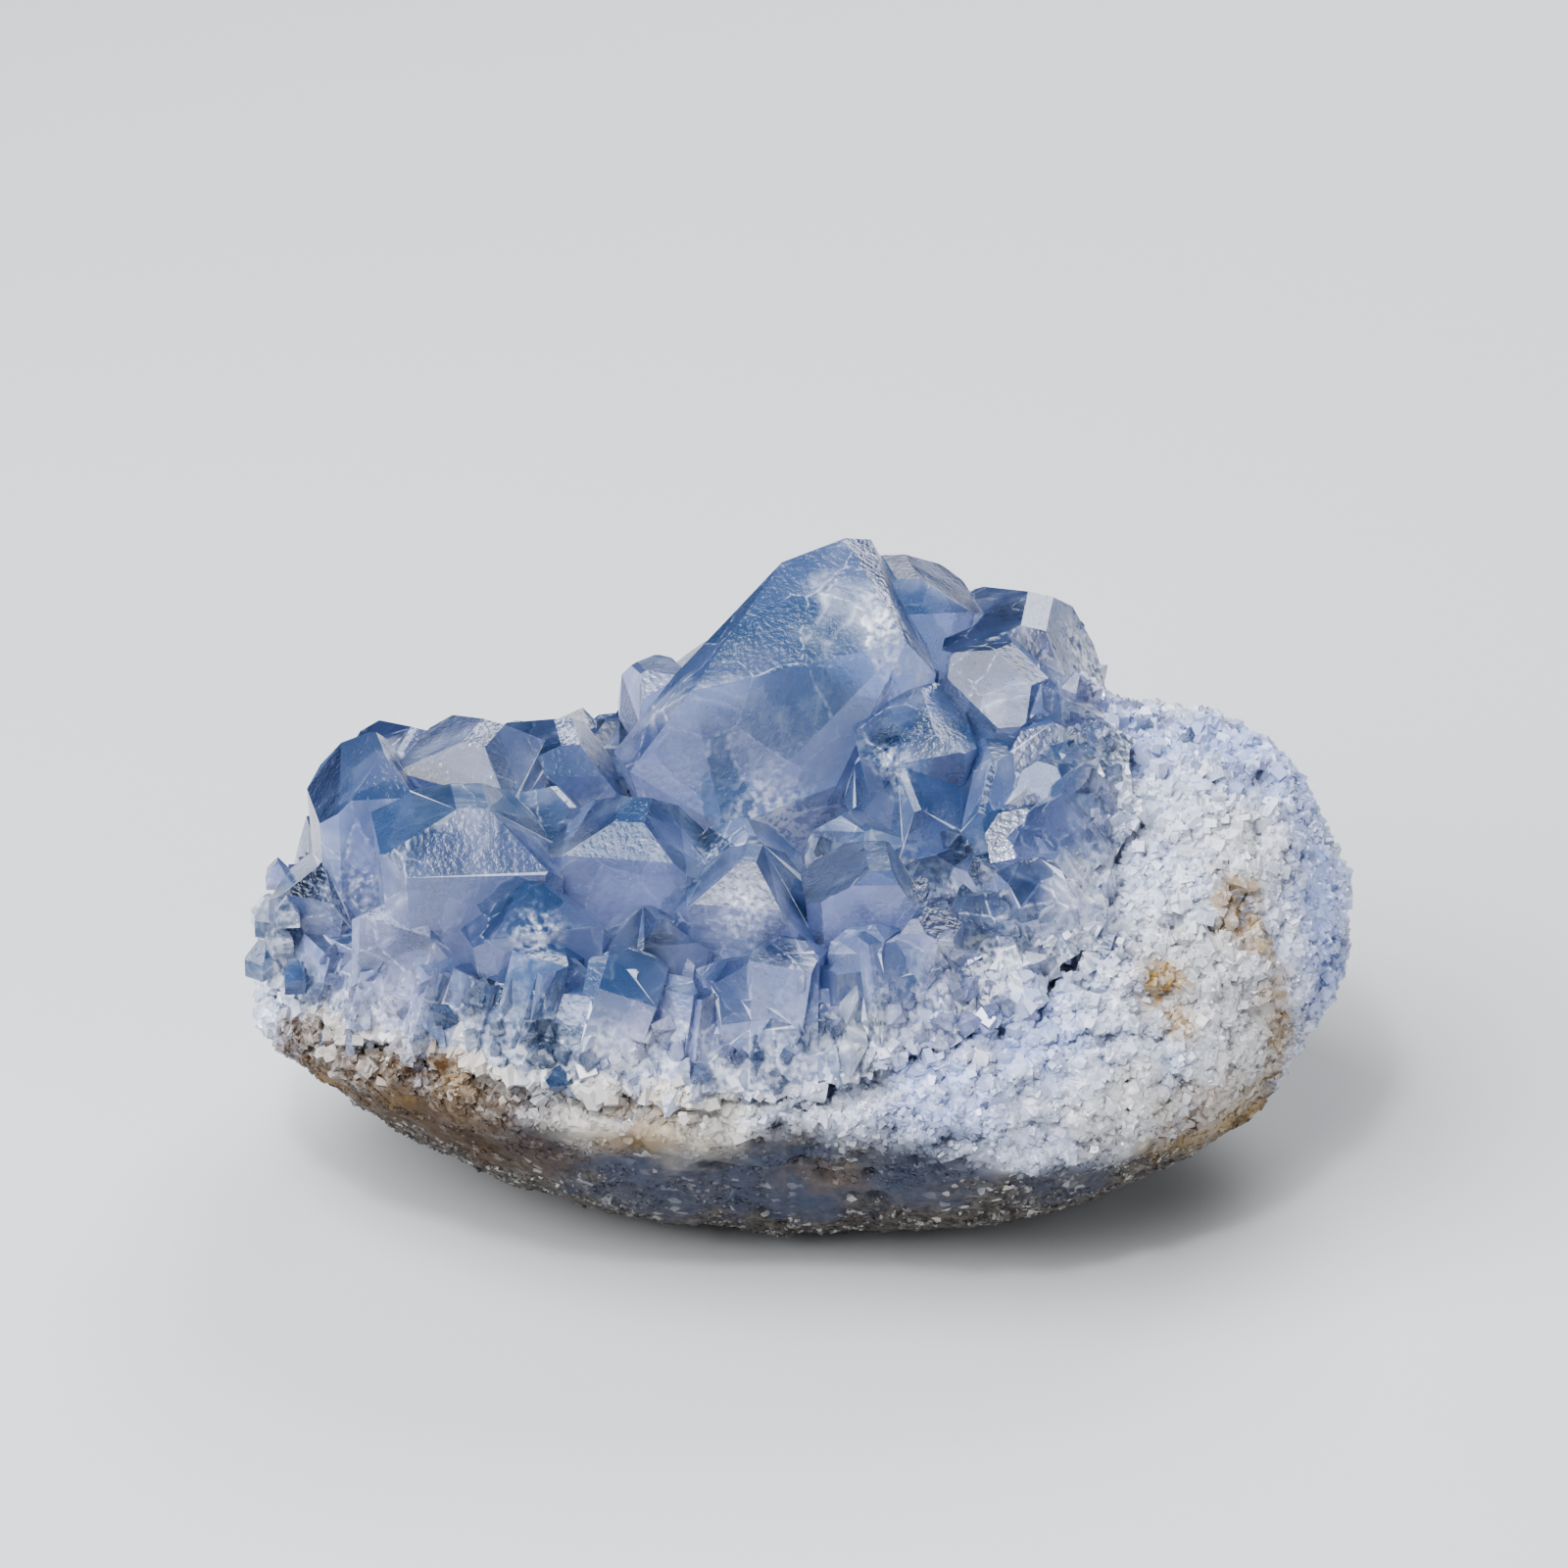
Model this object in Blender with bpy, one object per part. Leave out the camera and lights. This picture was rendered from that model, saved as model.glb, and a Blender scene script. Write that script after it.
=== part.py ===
"""Celestite geode: a broken piece of geode wall with pale blue crystals on its inner side.

It has two pieces. stone_wall is the granular wall with its weathered rind outside, a shallow
dish that rests on a small worn flat. crystal_crust is all the blue crystals, grown together
into one solid that lines the dish and stands high above its rim.
Lengths are in millimetres until a mesh is made, and MM turns them to metres.
The front, where the wall is lowest and the hollow opens, faces -Y. Right is +X.
"""

import math
import random
from dataclasses import dataclass

import bmesh
import bpy
from mathutils import Matrix, Vector, noise

MM = 0.001

# The whole piece
FOOT_RADIUS = 10.5  # the worn flat it rests on
FOOT_CENTRE = (1.5, 0.5)  # the flat lies under the centre of mass
DISH_DEPTH_Z = 17.0  # height of the dish's floor at its middle
DISH_CURVE = 2.6  # how late the floor turns up towards the rim
BELLY_CURVE = 2.7  # how late the underside turns up towards the rind's edge
GAP = 0.35  # between the stone and the crust, which touch in the real thing

# The wall's outer face, seen from above: one row each 45 degrees, from +X round by the back.
# Each pair is a radius and a height, at the rind's edge, the widest point, the shoulder and the lip.
WALL_OUTLINE = (
    (41.8, 9.5, 46.4, 24.5, 40.0, 35.6, 27.5, 37.3),  # right
    (33.0, 10.0, 37.0, 20.0, 33.5, 30.0, 25.0, 33.0),  # right back
    (25.5, 10.5, 28.5, 17.0, 27.5, 23.0, 23.5, 25.0),  # back
    (34.0, 10.5, 36.5, 16.0, 35.5, 19.5, 31.5, 20.5),  # left back
    (43.0, 11.0, 46.4, 15.0, 45.8, 18.0, 41.5, 19.0),  # left
    (34.5, 12.5, 37.8, 17.0, 37.2, 20.0, 33.5, 21.0),  # left front
    (28.0, 13.0, 30.5, 17.0, 29.6, 20.0, 26.0, 21.0),  # front
    (34.0, 9.0, 38.5, 17.0, 35.5, 25.0, 29.0, 27.0),  # right front
)
# The broken edge of the crust above it, in the same directions, at its foot and its rim
CRUST_OUTLINE = (
    (26.5, 36.5, 23.5, 38.5),  # right
    (24.5, 33.0, 21.5, 36.0),  # right back
    (26.5, 23.5, 23.0, 33.0),  # back
    (34.5, 19.5, 31.0, 27.5),  # left back
    (45.0, 18.0, 43.0, 25.5),  # left
    (36.6, 20.0, 33.5, 28.5),  # left front
    (29.0, 20.0, 25.0, 28.5),  # front
    (29.5, 27.0, 26.5, 31.0),  # right front
)
CRUST_MIDDLE_Z = 25.0  # height of the crust's bed at the middle of the hollow
COLUMN_SIZE, COLUMN_DEPTH = 3.4, 0.9  # the broken columns that show in the crust's edge
STONE_AROUND = 56
STONE_RINGS = 25
FOOT_SHARE, BELLY_SHARE, WALL_SHARE = 0.12, 0.40, 0.76  # rings of the sphere used up to each edge
CRUST_AROUND = 44
CRUST_RINGS = 15
CRUST_FOOT_SHARE, CRUST_RIM_SHARE = 0.42, 0.68
LUMP_SIZE, LUMP_HEIGHT = 8.0, 1.1
GRAIN_SIZE, GRAIN_HEIGHT = 3.2, 0.45

STONE_COLOUR = (0.62, 0.62, 0.60, 1.0)
CRYSTAL_COLOUR = (0.42, 0.56, 0.74, 1.0)


@dataclass(frozen=True)
class Crystal:
    """One prism with a roof-shaped tip, as celestine grows.

    tip is the middle of its ridge. lean is how far its top leans to the right and to the front.
    wide is across the ridge, thick is along it, long is from tip to root, and turn spins it on
    its own axis. roof and hip are the angles between the end faces and the axis: a small angle
    makes a sharp end. edge is how long the ridge stays, as a share of thick, and blunt is the
    width of the narrow flat on top of it. root is the width left at the root, as a share.
    """

    name: str
    tip: tuple
    lean: tuple
    wide: float
    thick: float
    long: float
    turn: float = 0.0
    roof: tuple = (50.0, 50.0)
    hip: tuple = (55.0, 55.0)
    edge: float = 0.45
    blunt: float = 0.6
    root: float = 0.7
    chamfer: float = 0.14


# The big crystals, from the left of the hollow to its right
BIG_CRYSTALS = (
    Crystal("left_end", (-35.2, -3.0, 39.6), (2, -3), 11.5, 11.0, 22, 12, (46, 38), (46, 55), 0.5),
    Crystal("left_end_low", (-39.4, -6.0, 30.6), (8, -4), 8.5, 10.0, 11, -10, (50, 40)),
    Crystal("left_end_back", (-33.4, 8.0, 34.8), (6, 8), 10.5, 9.0, 18, -15, (64, 58)),
    Crystal("left_block", (-27.2, -11.5, 39.0), (2, -4), 16.0, 14.0, 23, 8, (66, 50), (44, 60), 0.4, 2.6),
    Crystal("left_inner", (-26.6, 2.0, 38.3), (6, 4), 13.0, 11.0, 21, -20, (60, 50), (50, 55), 0.4, 2.0),
    Crystal("left_slope", (-19.8, 7.0, 36.0), (4, 4), 10.5, 9.0, 18, 10, (74, 42), (50, 55), 0.5, 1.6),
    Crystal("left_sliver", (-13.8, 13.0, 39.2), (-22, 6), 6.8, 5.4, 17, 24, (36, 60), (50, 55), 0.4),
    Crystal("hollow_left", (-19.8, -3.5, 35.0), (8, 4), 8.0, 8.0, 14, 30, (60, 50)),
    Crystal("round_top", (-13.8, -9.5, 36.8), (2, -4), 14.0, 11.0, 19, -6, (60, 52), (50, 60), 0.5, 2.4),
    Crystal("left_front", (-22.0, -17.0, 34.4), (-2, -6), 13.0, 11.0, 15, 16, (56, 50), (48, 60), 0.4, 1.0),
    Crystal("left_corner", (-31.0, -14.5, 32.0), (10, -8), 10.0, 9.0, 12, -20, (54, 46), (50, 56), 0.4, 1.2),
    Crystal("front_left", (-12.0, -19.5, 32.4), (2, -8), 9.5, 8.0, 14, 20, (50, 56)),
    Crystal("behind_grey", (-4.4, -9.5, 35.2), (3, -2), 11.0, 9.0, 16, 12, (48, 54), (55, 55), 0.4),
    Crystal("grey_front", (-4.0, -16.5, 36.3), (1, -5), 12.6, 10.0, 18, -8, (52, 42), (46, 60), 0.4, 1.2),
    Crystal("house_front", (6.2, -16.0, 35.8), (1, -4), 12.6, 9.0, 17, 4, (62, 36), (60, 62), 0.7, 1.8),
    Crystal("front_low", (12.4, -19.5, 30.0), (-6, -8), 8.5, 8.0, 12, 20, (50, 44)),
    Crystal("hollow_dark", (4.6, -5.0, 33.4), (-10, 8), 9.0, 8.0, 14, 35, (50, 58)),
    Crystal("wedge_left", (8.8, -4.0, 36.6), (-16, 34), 12.0, 12.0, 20, 18, (48, 44), (44, 58), 0.5),
    Crystal("wedge_right", (15.6, -4.5, 36.6), (-8, 34), 10.0, 11.0, 19, -14, (42, 52), (44, 58), 0.5),
    Crystal("flat_top", (9.2, 1.5, 40.2), (-6, 14), 10.0, 9.5, 19, 10, (78, 58), (52, 60), 0.7, 3.0),
    Crystal("square_prism", (18.6, 6.0, 42.8), (14, 18), 10.0, 9.5, 22, 40, (58, 52), (60, 60), 0.5, 2.0),
    Crystal("peak_right", (20.2, 15.0, 43.6), (10, 6), 15.0, 12.0, 26, -8, (62, 42), (50, 55), 0.5, 2.2),
    Crystal("peak_ridge", (8.6, 18.0, 46.4), (4, 0), 14.0, 10.0, 28, 14, (60, 62), (48, 50), 0.5, 2.0),
    Crystal("peak_edge", (25.0, 11.0, 38.6), (18, 4), 8.0, 8.5, 16, 30, (50, 50)),
    Crystal("tablet", (21.4, -3.0, 38.0), (-10, 18), 14.0, 9.0, 18, -20, (60, 52), (56, 60), 0.6, 2.4),
    Crystal("right_block", (19.6, -15.0, 34.0), (-8, -2), 10.5, 9.5, 15, 20, (66, 48), (50, 60), 0.5, 1.6),
    Crystal("right_low", (22.8, -15.0, 31.0), (-14, -4), 8.0, 8.0, 10, -20, (45, 48)),
    Crystal("right_upper", (26.0, -7.5, 33.8), (-12, 4), 9.0, 9.0, 11, 34, (58, 55), (55, 60), 0.5, 1.4),
    Crystal("back_left", (-23.0, 16.0, 29.6), (8, 10), 11.0, 10.0, 14, 40, (54, 50), (50, 55), 0.4, 1.4),
    Crystal("back_tall", (-6.5, 20.5, 38.0), (3, 2), 11.0, 9.0, 19, -25, (52, 58), (48, 55), 0.4, 1.2),
    Crystal("back_low", (-14.8, 20.0, 30.6), (4, 8), 8.5, 8.0, 13, 10, (50, 50)),
)

# Corners of the great crystal at the back: its long upper edge runs from left to right,
# with one face rising behind it to the peak and one falling towards the front.
GREAT_CRYSTAL = (
    (-9.2, 3.0, 41.7),  # left end of the edge
    (8.8, 4.0, 45.8),  # right end of the edge
    (-1.6, 14.0, 48.6),  # shoulder
    (3.8, 15.0, 50.4),  # peak
    (6.0, 17.0, 49.4),
    (-10.6, 8.0, 40.9),
    (-15.8, 6.0, 34.6),
    (-14.4, 3.0, 34.2),
    (-6.4, -1.4, 31.0),
    (3.0, 0.8, 34.0),
    (11.4, 6.5, 41.6),
    (10.5, 20.0, 40.0),
    (-9.0, 18.5, 37.0),
    (-11.0, 7.0, 20.0),
    (-3.0, 3.0, 20.0),
    (7.0, 7.0, 21.0),
    (7.0, 19.0, 20.0),
    (-6.0, 18.0, 20.0),
)

# Smaller crystals fill the crust between the big ones
FILL_SEED = 11
FILL_RINGS = ((0.25, 4), (0.52, 10), (0.76, 18), (0.92, 28))  # (share of the way to the rim, how many)
FILL_WIDE = (4.8, 7.6)
FILL_LONG = (8.0, 10.5)
FILL_RISE = 4.4  # how far a small crystal's tip stands above the bed
FOCUS = Vector((0.0, -4.0, 78.0))  # the crystals grow towards the middle of the whole geode
UPRIGHT = 0.5  # how much they stand straight up instead
EDGE_COLUMNS = 44  # broken crystals side by side all round the crust's edge
COLUMN_WIDE = (4.2, 6.6)
COLUMN_RISE = (-1.0, 3.0)


def smooth(before, here, after, later, t):
    """A smooth curve from here to after, at a share t of the way."""
    slope_here = (after - before) / 2
    slope_after = (later - here) / 2
    return (
        here * (2 * t**3 - 3 * t**2 + 1)
        + slope_here * (t**3 - 2 * t**2 + t)
        + after * (3 * t**2 - 2 * t**3)
        + slope_after * (t**3 - t**2)
    )


def outline_at(outline, turn):
    """The row of an outline in any direction, smooth all the way round."""
    count = len(outline)
    place = (turn / math.tau * count) % count
    i = int(place)
    rows = [outline[(i + k) % count] for k in (-1, 0, 1, 2)]
    return tuple(smooth(*values, place - i) for values in zip(*rows))


def polar(radius, turn, height, centre=(0.0, 0.0)):
    return Vector((centre[0] + radius * math.cos(turn), centre[1] + radius * math.sin(turn), height))


def floor_height(radius, turn):
    """Height of the dish's floor at a distance from its middle."""
    lip_r, lip_z = outline_at(WALL_OUTLINE, turn)[6:]
    return DISH_DEPTH_Z + (lip_z - DISH_DEPTH_Z) * min(1.0, radius / lip_r) ** DISH_CURVE


def stone_point(turn, share):
    """A point of the stone's skin: share runs from the foot's middle, over the lip, to the dish's middle."""
    row = outline_at(WALL_OUTLINE, turn)
    places = list(zip(row[::2], row[1::2]))
    rind_r, rind_z = places[0]
    if share <= FOOT_SHARE:
        return polar(FOOT_RADIUS * share / FOOT_SHARE, turn, 0.0, FOOT_CENTRE)
    if share <= BELLY_SHARE:
        t = (share - FOOT_SHARE) / (BELLY_SHARE - FOOT_SHARE)
        out = math.sin(t * math.pi / 2)
        start = polar(FOOT_RADIUS, turn, 0.0, FOOT_CENTRE)
        point = start.lerp(polar(rind_r, turn, 0.0), out)
        point.z = rind_z * out**BELLY_CURVE
        return point
    if share <= WALL_SHARE:
        place = (share - BELLY_SHARE) / (WALL_SHARE - BELLY_SHARE) * 3
        i = min(int(place), 2)
        below, inside = (rind_r - 3, rind_z - 5), (places[3][0] - 6, places[3][1] - 1.5)
        around = [below, *places, inside][i : i + 4]
        radius, height = (smooth(*values, place - i) for values in zip(*around))
        return polar(radius, turn, height)
    radius = places[3][0] * (1 - (share - WALL_SHARE) / (1 - WALL_SHARE))
    return polar(radius, turn, floor_height(radius, turn))


def crust_point(turn, share):
    """A point of the crust's bed: share runs from the middle of its underside, over its rim, to the top."""
    foot_r, foot_z, rim_r, rim_z = outline_at(CRUST_OUTLINE, turn)
    if share <= CRUST_FOOT_SHARE:
        radius = foot_r * share / CRUST_FOOT_SHARE
        return polar(radius, turn, floor_height(radius, turn) - 0.8)
    if share <= CRUST_RIM_SHARE:
        t = (share - CRUST_FOOT_SHARE) / (CRUST_RIM_SHARE - CRUST_FOOT_SHARE)
        edge = polar(foot_r + (rim_r - foot_r) * t**1.6, turn, foot_z + (rim_z - foot_z) * t)
        column = noise.noise(Vector((edge.x, edge.y, edge.z / 4)) / COLUMN_SIZE)
        return edge + polar(column * COLUMN_DEPTH, turn, 0.0)
    inward = 1 - (share - CRUST_RIM_SHARE) / (1 - CRUST_RIM_SHARE)
    return polar(rim_r * inward, turn, CRUST_MIDDLE_Z + (rim_z - CRUST_MIDDLE_Z) * inward**2)


def roughen(point, share):
    """Lumps and coarse grain on the wall and rind, none on the foot."""
    away = min(1.0, max(0.0, (share - FOOT_SHARE) * 6))
    on_rind = 0.45 if share < BELLY_SHARE else 1.0
    lump = noise.noise(point / LUMP_SIZE) * LUMP_HEIGHT
    grain = noise.noise(point / GRAIN_SIZE + Vector((7, 3, 5))) * GRAIN_HEIGHT
    outward = Vector((point.x, point.y, 0)).normalized() if point.xy.length > 1 else Vector()
    moved = point + (outward * 0.9 + Vector((0, 0, 0.45))) * (lump + grain) * away * on_rind
    moved.z = max(moved.z, 0.0)
    return moved


def new_object(name, bm, collection):
    mesh = bpy.data.meshes.new(name)
    bm.to_mesh(mesh)
    bm.free()
    obj = bpy.data.objects.new(name, mesh)
    collection.objects.link(obj)
    return obj


def make_stone(name, collection):
    """The wall: a sphere whose rings are laid along the foot, the belly, the wall and the dish."""
    bm = bmesh.new()
    bmesh.ops.create_uvsphere(bm, u_segments=STONE_AROUND, v_segments=STONE_RINGS, radius=1.0)
    for vert in bm.verts:
        turn = math.atan2(vert.co.y, vert.co.x)
        share = math.acos(max(-1.0, min(1.0, -vert.co.z))) / math.pi
        vert.co = roughen(stone_point(turn, share), share) * MM
    bmesh.ops.recalc_face_normals(bm, faces=bm.faces)
    return new_object(name, bm, collection)


def crystal_frame(tip, lean, turn):
    """The matrix that sets a crystal, modelled hanging below its tip, in its place."""
    right, front = (math.tan(math.radians(angle)) for angle in lean)
    axis = Vector((right, -front, 1)).normalized()
    across = (Vector((1, 0, 0)) - axis * axis.x).normalized()
    across = Matrix.Rotation(math.radians(turn), 3, axis) @ across
    back = axis.cross(across)
    frame = Matrix((across, back, axis)).transposed().to_4x4()
    frame.translation = Vector(tip)
    return frame


def cut(bm, point, normal):
    """Cuts away all that lies beyond a plane, and closes the cut with a flat face."""
    parts = bm.verts[:] + bm.edges[:] + bm.faces[:]
    made = bmesh.ops.bisect_plane(bm, geom=parts, plane_co=point, plane_no=normal, clear_outer=True)
    rim = [g for g in made["geom_cut"] if isinstance(g, bmesh.types.BMEdge)]
    if rim:
        bmesh.ops.contextual_create(bm, geom=rim)


def crystal_mesh(crystal):
    """A block cut to a prism with chamfered edges, a roof and a hip, and drawn in at its root."""
    bm = bmesh.new()
    bmesh.ops.create_cube(bm, size=1.0)
    size = Matrix.Diagonal((crystal.wide, crystal.thick, crystal.long, 1))
    bmesh.ops.transform(bm, matrix=Matrix.Translation((0, 0, -crystal.long / 2)) @ size, verts=bm.verts)
    half_w, half_t = crystal.wide / 2, crystal.thick / 2
    nip = crystal.chamfer * min(crystal.wide, crystal.thick)
    corners = [(x, y) for x in (-1, 1) for y in (-1, 1)] if nip else []
    for x, y in corners:
        cut(bm, (x * (half_w - nip), y * half_t, 0), Vector((x, y, 0)).normalized())
    for side, angle in zip((-1, 1), crystal.roof):
        slope = math.radians(angle)
        normal = Vector((side * math.cos(slope), 0, math.sin(slope)))
        cut(bm, (side * crystal.blunt / 2, 0, 0), normal)
    for side, angle in zip((-1, 1), crystal.hip):
        slope = math.radians(angle)
        normal = Vector((0, side * math.cos(slope), math.sin(slope)))
        cut(bm, (0, side * crystal.edge * half_t, 0), normal)
    for vert in bm.verts:
        depth = -vert.co.z / crystal.long
        narrow = 1 - (1 - crystal.root) * max(0.0, depth)
        vert.co.x *= narrow
        vert.co.y *= narrow
    frame = crystal_frame(crystal.tip, crystal.lean, crystal.turn)
    bmesh.ops.transform(bm, matrix=Matrix.Scale(MM, 4) @ frame, verts=bm.verts)
    bmesh.ops.recalc_face_normals(bm, faces=bm.faces)
    return bm


def great_crystal_mesh():
    """The largest crystal: the closed shape around its corners."""
    bm = bmesh.new()
    for corner in GREAT_CRYSTAL:
        bm.verts.new(Vector(corner) * MM)
    made = bmesh.ops.convex_hull(bm, input=bm.verts)
    bmesh.ops.delete(bm, geom=list(set(made["geom_interior"] + made["geom_unused"])), context="VERTS")
    bmesh.ops.recalc_face_normals(bm, faces=bm.faces)
    return bm


def in_a_big_crystal(point):
    """Whether a point lies well inside one of the big crystals, so that a small one there wouldn't show."""
    for crystal in BIG_CRYSTALS:
        local = crystal_frame(crystal.tip, crystal.lean, crystal.turn).inverted() @ point
        inside = abs(local.x) < crystal.wide * 0.42 and abs(local.y) < crystal.thick * 0.42
        if inside and -crystal.long < local.z < -0.25 * crystal.wide:
            return True
    low, high = Vector((-11, 3, 0)), Vector((8, 17, 40))
    return all(a < b < c for a, b, c in zip(low, point, high))


def small_crystals():
    """Small crystals in rings over the bed, each aimed at the middle of the geode."""
    dice = random.Random(FILL_SEED)
    made = []
    for share, count in FILL_RINGS:
        for k in range(count):
            turn = math.tau * (k + dice.uniform(-0.3, 0.3)) / count
            rim_r, rim_z = outline_at(CRUST_OUTLINE, turn)[2:]
            reach = share + dice.uniform(-0.04, 0.03)
            wide = dice.uniform(*FILL_WIDE)
            thick = wide * dice.uniform(0.65, 1.0)
            long = dice.uniform(*FILL_LONG)
            rise = FILL_RISE * dice.uniform(0.5, 1.1)
            spin = dice.uniform(0, 180)
            sway = Vector((dice.uniform(-0.2, 0.2), dice.uniform(-0.2, 0.2), 0))
            roof = (dice.uniform(40, 62), dice.uniform(40, 62))
            root = polar(rim_r * reach, turn, CRUST_MIDDLE_Z + (rim_z - CRUST_MIDDLE_Z) * reach**2)
            axis = ((FOCUS - root).normalized().lerp(Vector((0, 0, 1)), UPRIGHT) + sway).normalized()
            tip = root + axis * rise
            if in_a_big_crystal(tip):
                continue
            lean = (math.degrees(math.atan2(axis.x, axis.z)), math.degrees(math.atan2(-axis.y, axis.z)))
            name = f"small_{len(made)}"
            made.append(Crystal(name, tuple(tip), lean, wide, thick, long, spin, roof, root=0.9, chamfer=0))
    return made


def edge_columns():
    """Broken columns in the crust's edge, standing on the wall's shoulder with blunt tops."""
    dice = random.Random(FILL_SEED + 1)
    made = []
    for k in range(EDGE_COLUMNS):
        turn = math.tau * (k + dice.uniform(-0.3, 0.3)) / EDGE_COLUMNS
        foot_r, foot_z, rim_r, rim_z = outline_at(CRUST_OUTLINE, turn)
        wide = dice.uniform(*COLUMN_WIDE)
        inset = wide * dice.uniform(0.38, 0.5)
        foot, rim = polar(foot_r - inset, turn, foot_z), polar(rim_r - inset, turn, rim_z)
        axis = (rim - foot).normalized()
        rise = dice.uniform(*COLUMN_RISE)
        lean = (math.degrees(math.atan2(axis.x, axis.z)), math.degrees(math.atan2(-axis.y, axis.z)))
        roof = (dice.uniform(52, 78), dice.uniform(60, 80))
        long = max(7.0, (rim - foot).length + rise)
        spin = math.degrees(turn) + dice.uniform(-35, 35)
        tip = tuple(rim + axis * rise)
        name = f"column_{k}"
        made.append(Crystal(name, tip, lean, wide, wide * 0.9, long, spin, roof, (70, 60), root=1, chamfer=0))
    return made


def make_bed(name, collection):
    """The intergrown bed: a sphere whose rings are laid along the dish, the broken edge and the top."""
    bm = bmesh.new()
    bmesh.ops.create_uvsphere(bm, u_segments=CRUST_AROUND, v_segments=CRUST_RINGS, radius=1.0)
    for vert in bm.verts:
        turn = math.atan2(vert.co.y, vert.co.x)
        share = math.acos(max(-1.0, min(1.0, -vert.co.z))) / math.pi
        vert.co = crust_point(turn, share) * MM
    bmesh.ops.recalc_face_normals(bm, faces=bm.faces)
    return new_object(name, bm, collection)


def add_boolean(obj, name, operation, other):
    step = obj.modifiers.new(name, "BOOLEAN")
    step.operation = operation
    if isinstance(other, bpy.types.Collection):
        step.operand_type = "COLLECTION"
        step.collection = other
    else:
        step.object = other
    return step


def island_of(vert):
    """All the vertices joined to one."""
    found, waiting = {vert}, [vert]
    while waiting:
        for edge in waiting.pop().link_edges:
            for other in edge.verts:
                if other not in found:
                    found.add(other)
                    waiting.append(other)
    return found


def apply_and_fill(obj):
    """Applies the modifiers, then fills the tiny closed gaps left where crystals met inside the crust."""
    evaluated = obj.evaluated_get(bpy.context.evaluated_depsgraph_get())
    mesh = bpy.data.meshes.new_from_object(evaluated)
    obj.modifiers.clear()
    bm = bmesh.new()
    bm.from_mesh(mesh)
    islands, left = [], set(bm.verts)
    while left:
        island = island_of(next(iter(left)))
        islands.append(island)
        left -= island
    islands.sort(key=len)
    bmesh.ops.delete(bm, geom=[vert for island in islands[:-1] for vert in island], context="VERTS")
    bm.to_mesh(mesh)
    bm.free()
    obj.data = mesh


def centre_on_origin(objects):
    """Moves the finished pieces together so that the origin is the middle of the footprint."""
    bpy.context.view_layer.update()
    corners = [obj.matrix_world @ Vector(corner) for obj in objects for corner in obj.bound_box]
    middle = [(min(c[i] for c in corners) + max(c[i] for c in corners)) / 2 for i in (0, 1)]
    for obj in objects:
        obj.location = (-middle[0], -middle[1], 0.0)


def finish(name, rgba, roughness):
    """A plain material of that colour."""
    material = bpy.data.materials.new(name)
    material.use_nodes = True
    shader = material.node_tree.nodes["Principled BSDF"]
    shader.inputs["Base Color"].default_value = rgba
    shader.inputs["Roughness"].default_value = roughness
    return material


def new_collection(name):
    collection = bpy.data.collections.new(name)
    bpy.context.scene.collection.children.link(collection)
    return collection


def build():
    for obj in list(bpy.data.objects):
        bpy.data.objects.remove(obj)
    geode = new_collection("celestite_geode")
    tools = new_collection("cutters")
    prisms = new_collection("crystals_to_join")
    columns = new_collection("columns_to_join")

    stone = make_stone("stone_wall", geode)
    stone.data.materials.append(finish("granular_celestine", STONE_COLOUR, 0.8))

    clearance = make_stone("stone_clearance", tools)
    swell = clearance.modifiers.new("gap", "DISPLACE")
    swell.mid_level = 0.0
    swell.strength = GAP * MM

    new_object("great_crystal", great_crystal_mesh(), prisms)
    for crystal in (*BIG_CRYSTALS, *small_crystals()):
        new_object(crystal.name, crystal_mesh(crystal), prisms)
    for crystal in edge_columns():
        new_object(crystal.name, crystal_mesh(crystal), columns)

    crust = make_bed("crystal_crust", geode)
    add_boolean(crust, "edge", "UNION", columns)
    add_boolean(crust, "grow_together", "UNION", prisms)
    add_boolean(crust, "sit_on_stone", "DIFFERENCE", clearance).use_self = True
    apply_and_fill(crust)
    crust.data.materials.append(finish("celestine_crystal", CRYSTAL_COLOUR, 0.2))

    for helper in (*tools.objects, *prisms.objects, *columns.objects):
        helper.hide_render = True
        helper.display_type = "WIRE"
    centre_on_origin((stone, crust))


build()
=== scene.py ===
"""Looks of a celestite geode: pale blue celestine crystals on a sugary wall with a weathered rind.

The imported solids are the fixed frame. The wall and the crust are rebuilt over them with their
broken grain, and the small second growth, the splinters of the broken edge and the sugary grains
are pieces of their own. Front is -Y and right is +X. Places in the comments and fields are in
millimetres unless they say otherwise.
"""

from __future__ import annotations

import logging
import math
import random
from dataclasses import dataclass, field
from enum import Enum

import bpy
import numpy as np
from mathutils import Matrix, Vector, noise
from mathutils.kdtree import KDTree


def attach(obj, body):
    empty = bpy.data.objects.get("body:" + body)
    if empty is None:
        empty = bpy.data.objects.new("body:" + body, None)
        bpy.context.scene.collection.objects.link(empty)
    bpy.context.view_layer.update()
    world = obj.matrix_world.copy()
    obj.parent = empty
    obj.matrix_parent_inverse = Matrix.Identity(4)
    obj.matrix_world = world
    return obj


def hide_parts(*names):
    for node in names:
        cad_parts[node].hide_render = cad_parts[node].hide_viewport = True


Piece = bpy.types.Object
Socket = bpy.types.NodeSocket
Outputs = bpy.types.bpy_prop_collection
Patch = tuple[float, float, float, float]
Model = tuple[np.ndarray, np.ndarray]
LOG = logging.getLogger("celestite_geode")
MM = 0.001
BODY = "root"
MIDDLE = (-0.08, 1.14)

# How high the bed that the crystals grow from is in the middle.
BED_UP = 25.0
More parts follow.
